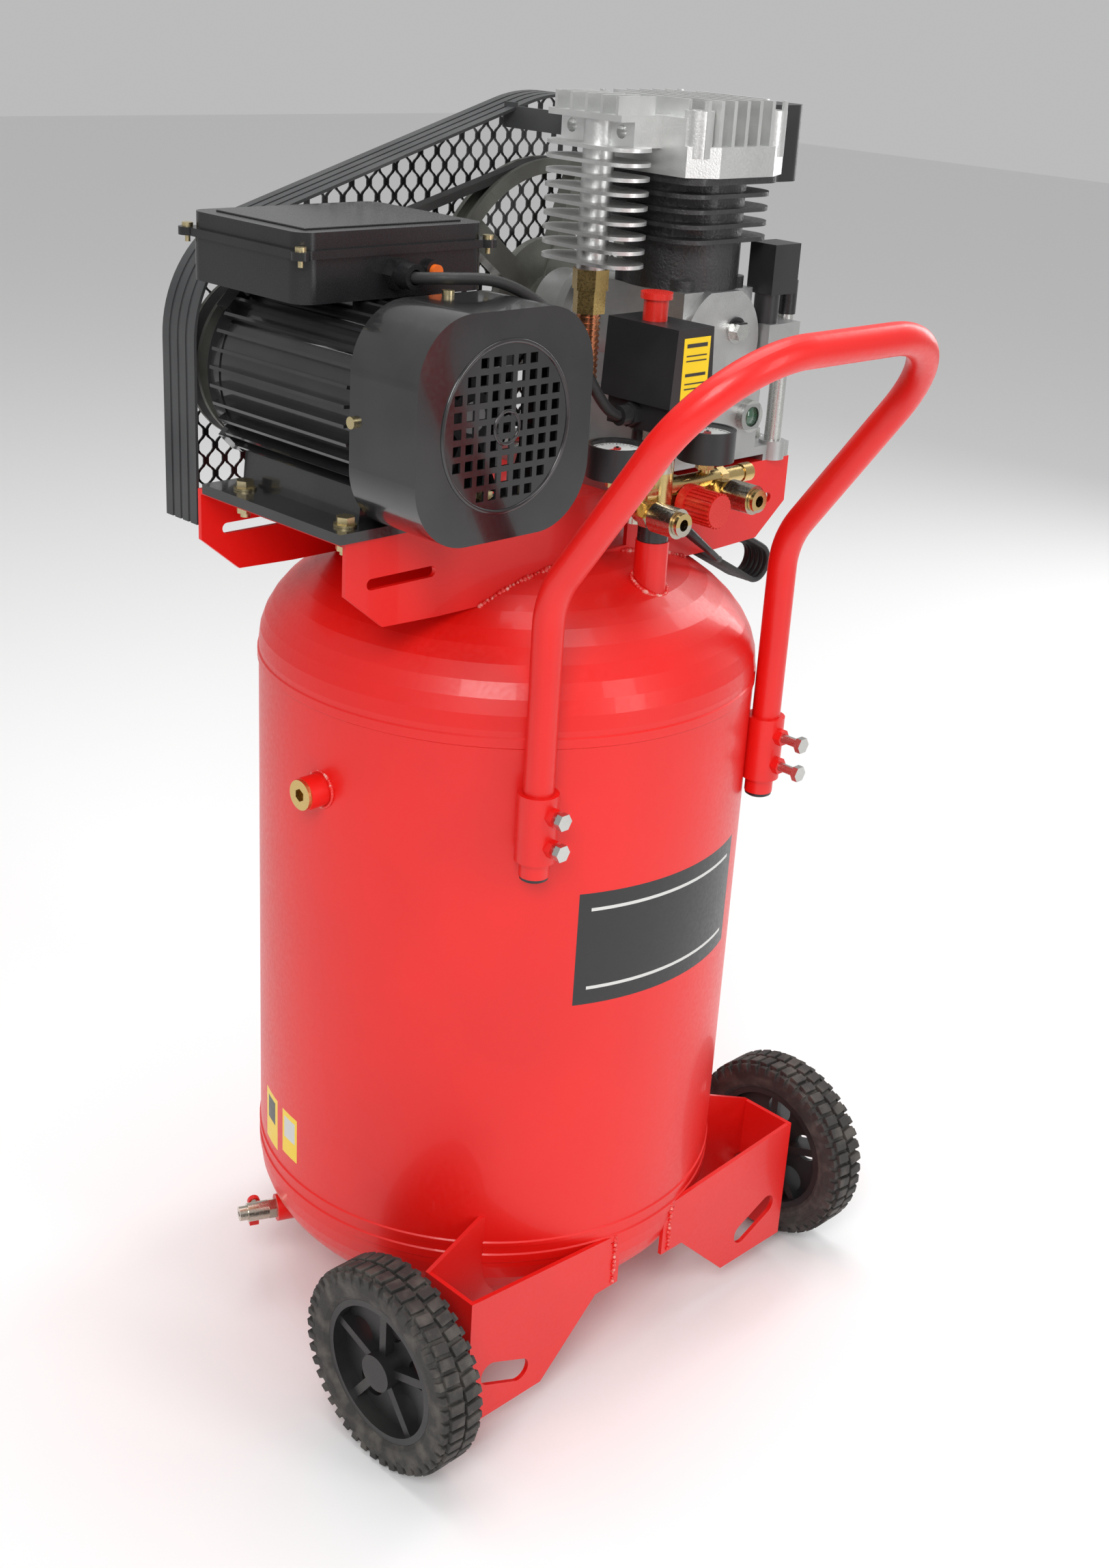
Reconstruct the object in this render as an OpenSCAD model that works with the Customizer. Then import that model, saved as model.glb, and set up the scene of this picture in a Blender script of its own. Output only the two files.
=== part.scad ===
// Wheeled vertical air compressor: upright tank on two wheels and a rear foot,
// with a belt-driven single-cylinder pump and a foot-mounted motor on a platform.
// Z is up, the floor is z = 0, and the handle side faces -Y.

/* [Tank] */
// Outside radius of the tank
tank_r = 220; // [200:1:240]
// Thickness of the tank's plate
tank_wall = 3; // [2:0.5:5]
// Height of the lower girth weld above the floor
seam_low = 145; // [130:1:170]
// Height of the upper girth weld above the floor
seam_top = 640; // [560:1:700]
// Height of each dished head, without its skirt
head_h = 110; // [90:1:125]
// Straight skirt of each head
head_skirt = 10; // [6:1:20]
// How far a girth weld stands proud
bead = 1.2; // [0.5:0.1:2]
// Outside radius of the outlet pipe on the top head
riser_r = 14; // [12:0.5:17]
// Outside radius of the side and drain bosses
boss_r = 14; // [12:0.5:18]

/* [Wheels and foot] */
// Outside radius of a wheel
wheel_r = 95; // [85:1:105]
// Width of a wheel
wheel_w = 43; // [36:1:50]
// Distance from the tank's centre plane to a wheel's centre plane
wheel_x = 261; // [255:1:280]
// Distance of the axle in front of the tank's axis
axle_y = 170; // [155:1:180]
// Radius of the stub axle
axle_r = 6; // [5:0.5:8]
// Radial clearance of a part that turns on a pin
run_gap = 0.05; // [0.02:0.01:0.1]
// Sheet thickness of the brackets
bracket_t = 4; // [2.5:0.5:5]
// Height of the rubber foot
foot_h = 20; // [12:1:25]

/* [Handle] */
// Outside radius of the handle's tube
handle_r = 12.5; // [11:0.5:16]
// Wall of the handle's tube
handle_wall = 2; // [1.5:0.1:3]
// Half the distance between the two posts
handle_x = 141; // [120:1:150]
// Distance of the posts in front of the tank's axis
handle_y = 187; // [184:1:200]
// Height at which the posts bend forward
bend_z = 766; // [740:1:800]
// Angle of the upper part from the vertical
lean = 36.2; // [25:0.1:45]
// Length of the leaning part, up to the crossbar's axis
lean_l = 249; // [220:1:290]
// Bend radius of the crossbar's corners
corner_r = 90; // [60:1:120]
// Length of a handle socket
socket_l = 58; // [45:1:80]
// Height of the sockets' centres
socket_z = 576; // [540:1:590]

/* [Platform] */
// Height of the platform's top face
plat_z = 803; // [790:1:820]
// Left end of the platform
plat_x0 = -260; // [-264:1:-255]
// Right end of the platform
plat_x1 = 260; // [255:1:264]
// Front face of the front flange
plat_y0 = -90; // [-96:1:-88]
// Rear face of the rear flange
plat_y1 = 98; // [94:1:98]
// Sheet thickness of the platform
plat_t = 4; // [3:0.5:6]
// Depth of the flanges at the ends
flange_end = 42; // [38:1:46]
// Depth of the flanges in the middle
flange_mid = 74; // [66:1:80]

/* [Motor] */
// Position of the motor's axis across the platform
motor_x = -178; // [-182:1:-170]
// Height of the motor's shaft above the platform
shaft_h = 93; // [90:1:98]
// Radius over the frame's ribs
motor_r = 82; // [78:1:84]
// Radius of the frame at the foot of the ribs
frame_r = 72; // [70:1:74]
// Radius of the motor's shaft
shaft_r = 12; // [10:0.5:14]
// Radius of the motor's pulley
pulley_r = 68; // [60:1:72]
// Half width of the fan cowl
cowl_half = 86; // [84:1:88]
// Front face of the fan cowl
cowl_y0 = -170; // [-180:1:-160]

/* [Pump] */
// Position of the crank's axis across the platform
pump_x = 138; // [134:1:142]
// Height of the crank's axis above the platform
crank_h = 113; // [110:1:116]
// Centre plane of the cylinder
cyl_y = -46; // [-50:1:-42]
// Bore radius of the cylinder
bore_r = 40; // [36:0.5:41]
// Throw of the crank, half the stroke
throw = 23; // [20:0.5:25]
// Centre distance of the connecting rod
rod_l = 90; // [88:0.5:92]
// Height of the crankcase's top face above the platform
case_h = 157; // [155:1:165]
// Height of the cylinder
cyl_h = 93; // [90:1:100]
// Outside radius of the flywheel
fly_r = 130; // [115:1:135]
// Front face of the flywheel
fly_y = 112; // [110:1:114]
// Width of the flywheel's rim
fly_w = 22; // [20:0.5:24]
// Width of the drive belt
belt_w = 12; // [10:0.5:13]
// Clearance between the belt and the grooves
belt_gap = 0.3; // [0.3:0.1:1]

/* [Air fittings] */
// Position of the outlet pipe across the tank
riser_x = 26; // [20:1:32]
// Distance of the outlet pipe in front of the tank's axis
riser_y = 138; // [134:1:142]
// Height of the outlet pipe's mouth
riser_z = 772; // [766:1:778]
// Radius of a pressure gauge
gauge_r = 24; // [20:0.5:25]
// Radius of the pressure switch's knob
knob_r = 10; // [8:0.5:11]

/* [Hidden] */
$fn = 64;

red = "orangered";
black = [0.10, 0.10, 0.11];
aluminium = [0.72, 0.72, 0.70];
steel = [0.66, 0.66, 0.64];
brass = [0.80, 0.66, 0.34];
iron = [0.45, 0.46, 0.40];
copper = [0.78, 0.42, 0.28];

// The frame's origin is under the middle of the whole outline, so the tank's
// axis stands this far behind it.
handle_reach = handle_y + lean_l * sin(lean) + handle_r;
tank_y = (handle_reach - tank_r - bead) / 2;
module at_tank() translate([0, tank_y, 0]) children();

// Small shared shapes. tube_x, tube_y and rod_x, rod_y lie along the named axis.
module rod_y(x, z, r, y0, y1) translate([x, y1, z]) rotate([90, 0, 0]) cylinder(r = r, h = y1 - y0);
module rod_x(y, z, r, x0, x1) translate([x0, y, z]) rotate([0, 90, 0]) cylinder(r = r, h = x1 - x0);
module rod_z(x, y, r, z0, z1) translate([x, y, z0]) cylinder(r = r, h = z1 - z0);
module block(x0, x1, y0, y1, z0, z1) translate([x0, y0, z0]) cube([x1 - x0, y1 - y0, z1 - z0]);
module hex_y(x, z, r, y0, y1) translate([x, y1, z]) rotate([90, 0, 0])
    cylinder(r = r, h = y1 - y0, $fn = 6);
module hex_x(y, z, r, x0, x1) translate([x0, y, z]) rotate([0, 90, 0])
    cylinder(r = r, h = x1 - x0, $fn = 6);
module hex_z(x, y, r, z0, z1) translate([x, y, z0]) cylinder(r = r, h = z1 - z0, $fn = 6);

// A flat outline with round corners, made of two bars and four circles.
module round_rect(w, h, r) {
    square([w - 2 * r, h], center = true);
    square([w, h - 2 * r], center = true);
    for (sx = [-1, 1], sy = [-1, 1]) translate([sx * (w / 2 - r), sy * (h / 2 - r)]) circle(r);
}

// A slot between two points: two circles and the bar that joins them.
module slot_2d(a, b, r) {
    n = [a[1] - b[1], b[0] - a[0]] / norm(b - a) * r;
    translate(a) circle(r);
    translate(b) circle(r);
    polygon([a + n, a - n, b - n, b + n]);
}

// A plate in an XZ plane between y0 and y1, from a flat outline.
module plate_y(y0, y1) translate([0, y1, 0]) rotate([90, 0, 0]) linear_extrude(y1 - y0) children();

// Smooth route through hand-chosen points, with n steps from each to the next.
function route_at(p, i) = p[max(0, min(len(p) - 1, i))];
function route_point(a, b, c, d, t) = 0.5 * (2 * b + (c - a) * t + (2 * a - 5 * b + 4 * c - d) * t * t
    + (3 * b - a - 3 * c + d) * t * t * t);
function route(p, n) = concat([for (i = [0:len(p) - 2], k = [0:n - 1])
    route_point(route_at(p, i - 1), p[i], p[i + 1], route_at(p, i + 2), k / n)], [p[len(p) - 1]]);

// A round tube swept along a route; side is a direction that no stretch runs along.
function unit(v) = v / norm(v);
function heading(q, i) = unit(route_at(q, i + 1) - route_at(q, i - 1));
module swept(p, r, n, side, sides = 8) {
    q = route(p, n);
    m = len(q);
    rings = [for (i = [0:m - 1]) let (t = heading(q, i), u = unit(cross(side, t)), v = cross(t, u))
        for (k = [0:sides - 1]) q[i] + r * (cos(360 * k / sides) * u + sin(360 * k / sides) * v)];
    walls = [for (i = [0:m - 2], k = [0:sides - 1]) let (k2 = (k + 1) % sides)
        [i * sides + k, (i + 1) * sides + k, (i + 1) * sides + k2, i * sides + k2]];
    first = [for (k = [0:sides - 1]) k];
    last = [for (k = [0:sides - 1]) (m - 1) * sides + sides - 1 - k];
    polyhedron(rings, concat(walls, [first], [last]));
}

// ---------------------------------------------------------------- tank

head_steps = 14;
function head_profile(r, h) = concat([[0, 0], [r, 0]],
    [for (i = [0:head_steps]) [r * cos(90 * i / head_steps), head_skirt + h * sin(90 * i / head_steps)]]);
module head_solid(r, h) rotate_extrude() polygon(head_profile(r, h));

// The tank as one plain solid: what is welded to it is cut to its surface.
module tank_solid() {
    translate([0, 0, seam_low]) cylinder(r = tank_r, h = seam_top - seam_low);
    translate([0, 0, seam_top]) head_solid(tank_r, head_h);
    translate([0, 0, seam_low]) mirror([0, 0, 1]) head_solid(tank_r, head_h);
}
module tank_and_welds() {
    tank_solid();
    rod_z(0, 0, tank_r + bead, seam_low - bead_h, seam_low + lap + bead_h);
}
module girth_bead(h) rotate_extrude()
    polygon([[tank_r - 1, 0], [tank_r + bead, 0], [tank_r + bead, h - bead], [tank_r, h],
        [tank_r - 1, h]]);

side_port_z = 567;
side_port_y = -11;
drain_turn = 157;
drain_z = 85;
port_r = 9;
drain_r = 6;
bead_h = 5;
lap = 13;

module tank_barrel() at_tank() color(red) difference() {
    union() {
        translate([0, 0, seam_low]) cylinder(r = tank_r, h = seam_top - seam_low);
        translate([0, 0, seam_low]) girth_bead(bead_h);
        translate([0, 0, seam_low + lap]) girth_bead(bead_h);
        translate([0, 0, seam_top]) mirror([0, 0, 1]) girth_bead(bead_h);
    }
    translate([0, 0, seam_low - 1]) cylinder(r = tank_r - tank_wall, h = seam_top - seam_low + 2);
    rod_x(side_port_y, side_port_z, port_r, -tank_r - 10, -tank_r + 20);
}

module tank_head() difference() {
    union() {
        head_solid(tank_r, head_h);
        girth_bead(bead_h);
    }
    head_solid(tank_r - tank_wall, head_h - tank_wall);
}
module tank_heads() at_tank() color(red) {
    difference() {
        translate([0, 0, seam_top]) tank_head();
        rod_z(riser_x, -riser_y, port_r, seam_top, riser_z);
    }
    difference() {
        translate([0, 0, seam_low]) mirror([0, 0, 1]) tank_head();
        rotate([0, 0, drain_turn]) rod_x(0, drain_z, drain_r, tank_r - 60, tank_r);
    }
}

// ---------------------------------------------------------------- sockets and bosses

side_boss_x = -tank_r - 18;
drain_boss_x = 212;
socket_wall = 4.3;
socket_gap = 0.1;
bolt_pitch = 27;
bolt_r = 4;
nut_t = 6.5;
nut_r = 7.5;
socket_r = handle_r + socket_gap + socket_wall;

module handle_socket(sx) difference() {
    union() {
        rod_z(sx * handle_x, -handle_y, socket_r, socket_z - socket_l / 2, socket_z + socket_l / 2);
        for (dz = [-1, 1] * bolt_pitch / 2)
            hex_y(sx * handle_x, socket_z + dz, nut_r, -handle_y - socket_r - nut_t + 1,
                -handle_y - socket_r + 2);
    }
    tank_solid();
    rod_z(sx * handle_x, -handle_y, handle_r + socket_gap, socket_z - socket_l, socket_z + socket_l);
    for (dz = [-1, 1] * bolt_pitch / 2)
        rod_y(sx * handle_x, socket_z + dz, bolt_r + 0.05, -handle_y - socket_r - 20, -handle_y);
}
module welded_sockets() at_tank() color(red) {
    difference() {
        rod_z(riser_x, -riser_y, riser_r, seam_top, riser_z);
        tank_solid();
        rod_z(riser_x, -riser_y, port_r, seam_top - 1, riser_z + 1);
    }
    difference() {
        rod_x(side_port_y, side_port_z, boss_r, side_boss_x, -tank_r + 20);
        tank_solid();
        rod_x(side_port_y, side_port_z, port_r, side_boss_x - 1, -tank_r + 30);
    }
    difference() {
        rotate([0, 0, drain_turn]) rod_x(0, drain_z, boss_r - 1, drain_boss_x - 50, drain_boss_x);
        tank_solid();
        rotate([0, 0, drain_turn]) rod_x(0, drain_z, drain_r, drain_boss_x - 60, drain_boss_x + 1);
    }
    for (sx = [-1, 1]) handle_socket(sx);
}
module side_plug() at_tank() color(steel) difference() {
    union() {
        rod_x(side_port_y, side_port_z, port_r - 0.05, side_boss_x, side_boss_x + 14);
        rod_x(side_port_y, side_port_z, boss_r - 1, side_boss_x - 3, side_boss_x);
    }
    hex_x(side_port_y, side_port_z, 5.8, side_boss_x - 4, side_boss_x + 7);
}

// ---------------------------------------------------------------- drain cock

// The cock points away from the tank's axis: +X here is that direction.
module at_drain() at_tank() rotate([0, 0, drain_turn]) children();
valve_x = drain_boss_x + 18;
lever_y = -13;
lever_t = 5;
stem_r = 3;
module drain_valve() at_drain() color(steel) difference() {
    union() {
        rod_x(0, drain_z, drain_r - 0.05, drain_boss_x - 10, drain_boss_x);
        hex_x(0, drain_z, 10, drain_boss_x, drain_boss_x + 8);
        rod_x(0, drain_z, 9, drain_boss_x + 8, drain_boss_x + 28);
        rod_x(0, drain_z, 7, drain_boss_x + 28, drain_boss_x + 36);
        rod_y(valve_x, drain_z, 5, lever_y + 0.3, 0);
        rod_y(valve_x, drain_z, stem_r, lever_y - lever_t, 0);
    }
    rod_x(0, drain_z, 2.5, drain_boss_x - 20, drain_boss_x + 40);
}
module drain_lever() at_drain() color(red) difference() {
    union() {
        rod_y(valve_x, drain_z, 6, lever_y - lever_t, lever_y);
        block(valve_x - 4.5, valve_x + 4.5, lever_y - lever_t, lever_y, drain_z - 26, drain_z);
    }
    rod_y(valve_x, drain_z, stem_r + run_gap, lever_y - lever_t - 1, lever_y + 1);
}

// ---------------------------------------------------------------- platform

motor_y = -11.5;
foot_pitch_x = 140;
foot_pitch_y = 125;
foot_bolt_r = 4;
pump_bolt_x = 104;
pump_bolt_y = [-58, 34];
pump_bolt_r = 4.5;
pipe_x = 45;
pipe_y = -30;
plat_under = plat_z - plat_t;
slot_z = plat_z - 36;

module flange_outline() {
    mid = (plat_x0 + plat_x1) / 2;
    half = (plat_x1 - plat_x0) / 2;
    translate([mid, plat_z]) polygon([[-half, 0], [-half, -flange_end], [-half + 37, -flange_mid + 2],
        [-half + 92, -flange_mid], [half - 92, -flange_mid], [half - 37, -flange_mid + 2],
        [half, -flange_end], [half, 0]]);
}
module platform() at_tank() color(red) difference() {
    union() {
        block(plat_x0, plat_x1, plat_y0, plat_y1, plat_under, plat_z);
        plate_y(plat_y0, plat_y0 + plat_t) flange_outline();
        plate_y(plat_y1 - plat_t, plat_y1) flange_outline();
    }
    tank_solid();
    plate_y(plat_y0 - 1, plat_y1 + 1) {
        slot_2d([plat_x1 - 85, slot_z], [plat_x1 - 25, slot_z], 4.5);
        slot_2d([plat_x0 + 85, slot_z], [plat_x0 + 25, slot_z], 4.5);
    }
    block(-5, 47, plat_y0 - 1, plat_y0 + plat_t + 1, plat_z - 51, plat_z - 19);
    for (sx = [-1, 1], sy = [-1, 1])
        rod_z(motor_x + sx * foot_pitch_x / 2, motor_y + sy * foot_pitch_y / 2, foot_bolt_r + 0.3,
            plat_z - 20, plat_z + 1);
    for (sx = [-1, 1], y = pump_bolt_y)
        rod_z(pump_x + sx * pump_bolt_x, y, pump_bolt_r + 0.3, plat_z - 20, plat_z + 1);
    rod_z(pipe_x, pipe_y, 12, plat_z - 20, plat_z + 1);
}

// ---------------------------------------------------------------- handle

bend_r = 75;
bend_run = bend_r * tan(lean / 2);
tube_end_z = socket_z - socket_l / 2 - 14;

// Half of the handle on the +X side: post, bend, leaning run, corner and half the crossbar.
module handle_half(r, over) {
    rod_z(handle_x, -handle_y, r, tube_end_z - over, bend_z - bend_run);
    translate([handle_x, -handle_y - bend_r, bend_z - bend_run]) rotate([90, 0, 90])
        rotate_extrude(angle = lean) translate([bend_r, 0]) circle(r);
    translate([0, -handle_y, bend_z]) rotate([lean, 0, 0]) {
        rod_z(handle_x, 0, r, bend_run, lean_l - corner_r);
        translate([handle_x - corner_r, 0, lean_l - corner_r]) rotate([90, 0, 0])
            rotate_extrude(angle = 90) translate([corner_r, 0]) circle(r);
        rod_x(0, lean_l, r, 0, handle_x - corner_r);
    }
}
module handle_bar(r, over) {
    handle_half(r, over);
    mirror([1, 0, 0]) handle_half(r, over);
}
module handle_tube() at_tank() color(red) difference() {
    handle_bar(handle_r, 0);
    handle_bar(handle_r - handle_wall, 1);
}

// ---------------------------------------------------------------- wheels, brackets and foot

bracket_x = wheel_x - wheel_w / 2 - 24.5;
bracket_y0 = -axle_y - 47;
bracket_y1 = -axle_y + 13;
bracket_z0 = 29;
bracket_z1 = 161;
hub_r = 17;
hub_half = 17;
spoke_n = 5;
rim_r = 66;
cap_t = 3;

module wheel_bracket() difference() {
    union() {
        plate_y(bracket_y0, bracket_y0 + bracket_t)
            polygon([[30, bracket_z1 - 15], [bracket_x, bracket_z1], [bracket_x, bracket_z0],
                [bracket_x - 90, bracket_z0], [59, 92], [30, 92]]);
        block(bracket_x - bracket_t, bracket_x, bracket_y0, bracket_y1, bracket_z0, bracket_z1);
        plate_y(bracket_y1 - bracket_t, bracket_y1)
            polygon([[140, 60], [bracket_x - 90, 190], [154, 190], [bracket_x, bracket_z1],
                [bracket_x, bracket_z0],
                [bracket_x - 30, bracket_z0]]);
    }
    tank_and_welds();
    plate_y(bracket_y0 - 1, bracket_y0 + bracket_t + 1)
        slot_2d([bracket_x - 62, 58], [bracket_x - 26, 74], 11);
    rod_x(-axle_y, wheel_r, axle_r + 0.1, bracket_x - 10, bracket_x + 10);
}
foot_y = 190;
module wheel_brackets() at_tank() color(red) {
    wheel_bracket();
    mirror([1, 0, 0]) wheel_bracket();
    difference() {
        union() {
            block(-30, 30, foot_y - 25, foot_y + 25, foot_h, foot_h + bracket_t);
            for (sx = [-1, 1]) translate([sx * (30 - bracket_t / 2), 0, 0])
                block(-bracket_t / 2, bracket_t / 2, foot_y - 25, foot_y + 25, foot_h, seam_low - 20);
        }
        tank_and_welds();
        rod_z(0, foot_y, 4.2, foot_h - 1, foot_h + 10);
    }
}
module rubber_foot() at_tank() color(black) difference() {
    union() {
        rod_z(0, foot_y, 22, 3, foot_h);
        rod_z(0, foot_y, 18, 0, 3);
    }
    rod_z(0, foot_y, 4.2, -1, foot_h + 1);
    rod_z(0, foot_y, 9, -1, 6);
}

// A wheel's plastic rim about the X axis through the origin, with its hub cap outboard at +X.
module rim() {
    difference() {
        union() {
            rotate([0, 90, 0]) difference() {
                cylinder(r = rim_r, h = 34, center = true);
                cylinder(r = rim_r - 6, h = 40, center = true);
            }
            rotate([0, 90, 0]) difference() {
                cylinder(r = rim_r - 5, h = 5, center = true);
                for (i = [0:spoke_n - 1]) rotate([0, 0, 360 / spoke_n * (i + 0.5)])
                    translate([40, 0, 0]) cylinder(r = 14, h = 8, center = true);
            }
            rod_x(0, 0, hub_r, -hub_half - 3, hub_half);
            for (i = [0:spoke_n - 1]) rotate([360 / spoke_n * i, 0, 0])
                block(-12, 12, -4, 4, hub_r - 2, rim_r - 4);
        }
        rod_x(0, 0, axle_r + run_gap, -hub_half - 4, hub_half + 1);
        rod_x(0, 0, 12, hub_half - 9, hub_half + 1);
    }
    rod_x(0, 0, 12, hub_half - 0.5, hub_half + cap_t);
    rod_x(0, 0, hub_r, hub_half, hub_half + cap_t);
}
module tyre() rotate([0, 90, 0]) rotate_extrude()
    polygon([[rim_r, -17], [rim_r + 10, -wheel_w / 2 + 1], [wheel_r - 16, -wheel_w / 2],
        [wheel_r - 5, -wheel_w / 2 + 3],
        [wheel_r, -wheel_w / 2 + 10], [wheel_r, wheel_w / 2 - 10], [wheel_r - 5, wheel_w / 2 - 3],
        [wheel_r - 16, wheel_w / 2], [rim_r + 10, wheel_w / 2 - 1], [rim_r, 17]]);
module at_wheel(sx) at_tank() translate([sx * wheel_x, -axle_y, wheel_r])
    mirror([sx < 0 ? 1 : 0, 0, 0]) children();
module rim_left() color(black) at_wheel(-1) rim();
module rim_right() color(black) at_wheel(1) rim();
module tyre_left() color(black) at_wheel(-1) tyre();
module tyre_right() color(black) at_wheel(1) tyre();

// Bolts of the chassis: two stub axles with their nuts, the socket bolts and the foot's bolt.
bolt_out = [9, 22];
module chassis_bolts() at_tank() color(steel) {
    for (sx = [-1, 1]) translate([sx * wheel_x, -axle_y, wheel_r]) mirror([sx < 0 ? 1 : 0, 0, 0]) {
        in = bracket_x - wheel_x;
        rod_x(0, 0, axle_r, in - bracket_t - 12, hub_half - 9);
        hex_x(0, 0, 9, hub_half - 8.7, hub_half - 2);
        rod_x(0, 0, axle_r, hub_half - 9, hub_half - 8.7);
        difference() {
            hex_x(0, 0, 9.2, in - bracket_t - 8, in - bracket_t);
            rod_x(0, 0, axle_r, in - bracket_t - 9, in);
        }
        difference() {
            rod_x(0, 0, 10, in, -hub_half - 3.3);
            rod_x(0, 0, axle_r, in - 1, -hub_half);
        }
    }
    for (i = [0, 1], dz = [-1, 1] * bolt_pitch / 2) {
        x = (2 * i - 1) * handle_x;
        y = -handle_y - socket_r - bolt_out[i];
        rod_y(x, socket_z + dz, bolt_r, y, -handle_y - handle_r);
        hex_y(x, socket_z + dz, nut_r, y - 5.5, y);
    }
    difference() {
        rod_z(0, foot_y, 4, 2, foot_h + bracket_t + 9);
        rod_z(0, foot_y, 1, 0, 3);
    }
    difference() {
        hex_z(0, foot_y, 7.5, foot_h + bracket_t, foot_h + bracket_t + 6.5);
        rod_z(0, foot_y, 4, foot_h, foot_h + 20);
    }
}

// ---------------------------------------------------------------- motor

motor_z = plat_z + shaft_h;
frame_y0 = -85;
frame_y1 = 80;
shield_t = 15;
core_r = frame_r - 8;
rib_n = 36;
box_x0 = -272;
box_x1 = -92;
box_y0 = -50;
box_y1 = 88;
box_z0 = motor_z + 74;
box_z1 = box_z0 + 35;
lid_t = 15;
ear_xy = [[box_x0, box_y0], [box_x1, box_y0], [box_x1, box_y1], [box_x0, box_y1]];
bearing_r = 26;

module motor_leg(sx) translate([motor_x, frame_y1 - 10, plat_z]) mirror([sx < 0 ? 1 : 0, 0, 0])
    rotate([90, 0, 0])
    linear_extrude(frame_y1 - frame_y0 - 20)
        polygon([[58, 7], [54, shaft_h - 44], [40, shaft_h - 58], [44, 7]]);
// Ribs under the terminal box stop below it.
function rib_top(a) = cos(a) > 0.5 ? min(motor_r, (box_z0 - motor_z - 1.5) / cos(a)) : motor_r;
module motor_frame() at_tank() color(black) difference() {
    union() {
        rod_y(motor_x, motor_z, frame_r, frame_y0, frame_y1);
        for (i = [0:rib_n - 1]) translate([motor_x, 0, motor_z]) rotate([0, 360 / rib_n * (i + 0.5), 0])
            block(-1.3, 1.3, frame_y0, frame_y1, frame_r - 3, rib_top(360 / rib_n * (i + 0.5)));
        block(motor_x - 89, motor_x + 89, frame_y0 - 7, frame_y1 + 2, plat_z, plat_z + 8);
        for (sx = [-1, 1]) motor_leg(sx);
        block(motor_x - 40, motor_x + 40, box_y0 + 8, box_y1 - 8, motor_z + 60, box_z0);
    }
    rod_y(motor_x, motor_z, core_r, frame_y0 - 1, frame_y1 + 1);
    for (sx = [-1, 1], sy = [-1, 1])
        rod_z(motor_x + sx * foot_pitch_x / 2, motor_y + sy * foot_pitch_y / 2, foot_bolt_r + 0.3,
            plat_z - 1, plat_z + 9);
}
module motor_windings() at_tank() {
    color(copper) difference() {
        rod_y(motor_x, motor_z, core_r - 0.1, frame_y0 + 20, frame_y1 - 20);
        rod_y(motor_x, motor_z, 46, frame_y0, frame_y1);
    }
    color(steel) rod_x(45, box_z0 + 20, 16, motor_x - 50, motor_x + 45);
}
module end_shield(y0, y1) difference() {
    union() {
        rod_y(motor_x, motor_z, frame_r + 1, y0, y1);
        for (i = [0:3]) translate([motor_x, 0, motor_z]) rotate([0, 45 + 90 * i, 0])
            block(-9, 9, y0, y1, 60, motor_r - 1);
    }
    rod_y(motor_x, motor_z, bearing_r, y0 - 1, y1 + 1);
}
module motor_end_shields() at_tank() color(black) {
    end_shield(frame_y1, frame_y1 + shield_t);
    end_shield(frame_y0 - 12, frame_y0);
}
module ring_y(x, z, r_out, r_in, y0, y1) difference() {
    rod_y(x, z, r_out, y0, y1);
    rod_y(x, z, r_in, y0 - 1, y1 + 1);
}
module cowl_outline(half) round_rect(2 * half, 2 * half - 5, half - 36);
hole_pitch = 12;
hole_w = 7.5;
grille_r = 56;
module fan_cowl() at_tank() color(black) difference() {
    translate([motor_x, frame_y0 - 12, motor_z]) rotate([90, 0, 0])
        linear_extrude(frame_y0 - 12 - cowl_y0) cowl_outline(cowl_half);
    translate([motor_x, frame_y0 - 11, motor_z]) rotate([90, 0, 0])
        linear_extrude(frame_y0 - 13 - cowl_y0) cowl_outline(cowl_half - 2);
    for (i = [-4:4], j = [-4:4]) if (hole_pitch * norm([i, j]) < grille_r)
        translate([motor_x + i * hole_pitch, cowl_y0, motor_z + j * hole_pitch])
            cube([hole_w, 8, hole_w], center = true);
}
module box_solid(z0, z1, inset) translate([(box_x0 + box_x1) / 2, (box_y0 + box_y1) / 2, z0])
    linear_extrude(z1 - z0)
        round_rect(box_x1 - box_x0 - 2 * inset, box_y1 - box_y0 - 2 * inset, 14 - inset);
module box_ears(z0, z1) {
    translate([(box_x0 + box_x1) / 2, (box_y0 + box_y1) / 2, z0])
        linear_extrude(z1 - z0) round_rect(box_x1 - box_x0 + 6, box_y1 - box_y0 + 6, 12);
    for (p = ear_xy) rod_z(p[0], p[1], 7, z0, z1);
}
gland_x = -185;
gland_z = box_z0 + 18;
button_x = -150;
module terminal_box() at_tank() color(black) difference() {
    union() {
        box_solid(box_z0, box_z1, 0);
        box_ears(box_z1 - 3, box_z1);
        hex_y(gland_x, gland_z, 12, box_y0 - 10, box_y0 + 1);
        rod_y(gland_x, gland_z, 9.5, box_y0 - 24, box_y0 - 10);
        rod_y(button_x, gland_z, 8, box_y0 - 5, box_y0 + 1);
    }
    box_solid(box_z0 + 3, box_z1 + 1, 3);
    for (p = ear_xy) rod_z(p[0], p[1], 2.1, box_z1 - 4, box_z1 + 1);
    rod_y(gland_x, gland_z, 5.6, box_y0 - 25, box_y0 + 10);
    rod_y(button_x, gland_z, 5.3, box_y0 - 6, box_y0 + 10);
}
module terminal_box_lid() at_tank() color(black) difference() {
    union() {
        box_solid(box_z1, box_z1 + lid_t, 1);
        box_ears(box_z1, box_z1 + 3);
    }
    box_solid(box_z1 - 1, box_z1 + lid_t - 3, 4);
    for (p = ear_xy) rod_z(p[0], p[1], 2.1, box_z1 - 1, box_z1 + 4);
}
module reset_button() at_tank() color("orange") rod_y(button_x, gland_z, 5, box_y0 - 9, box_y0 + 8);

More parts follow.
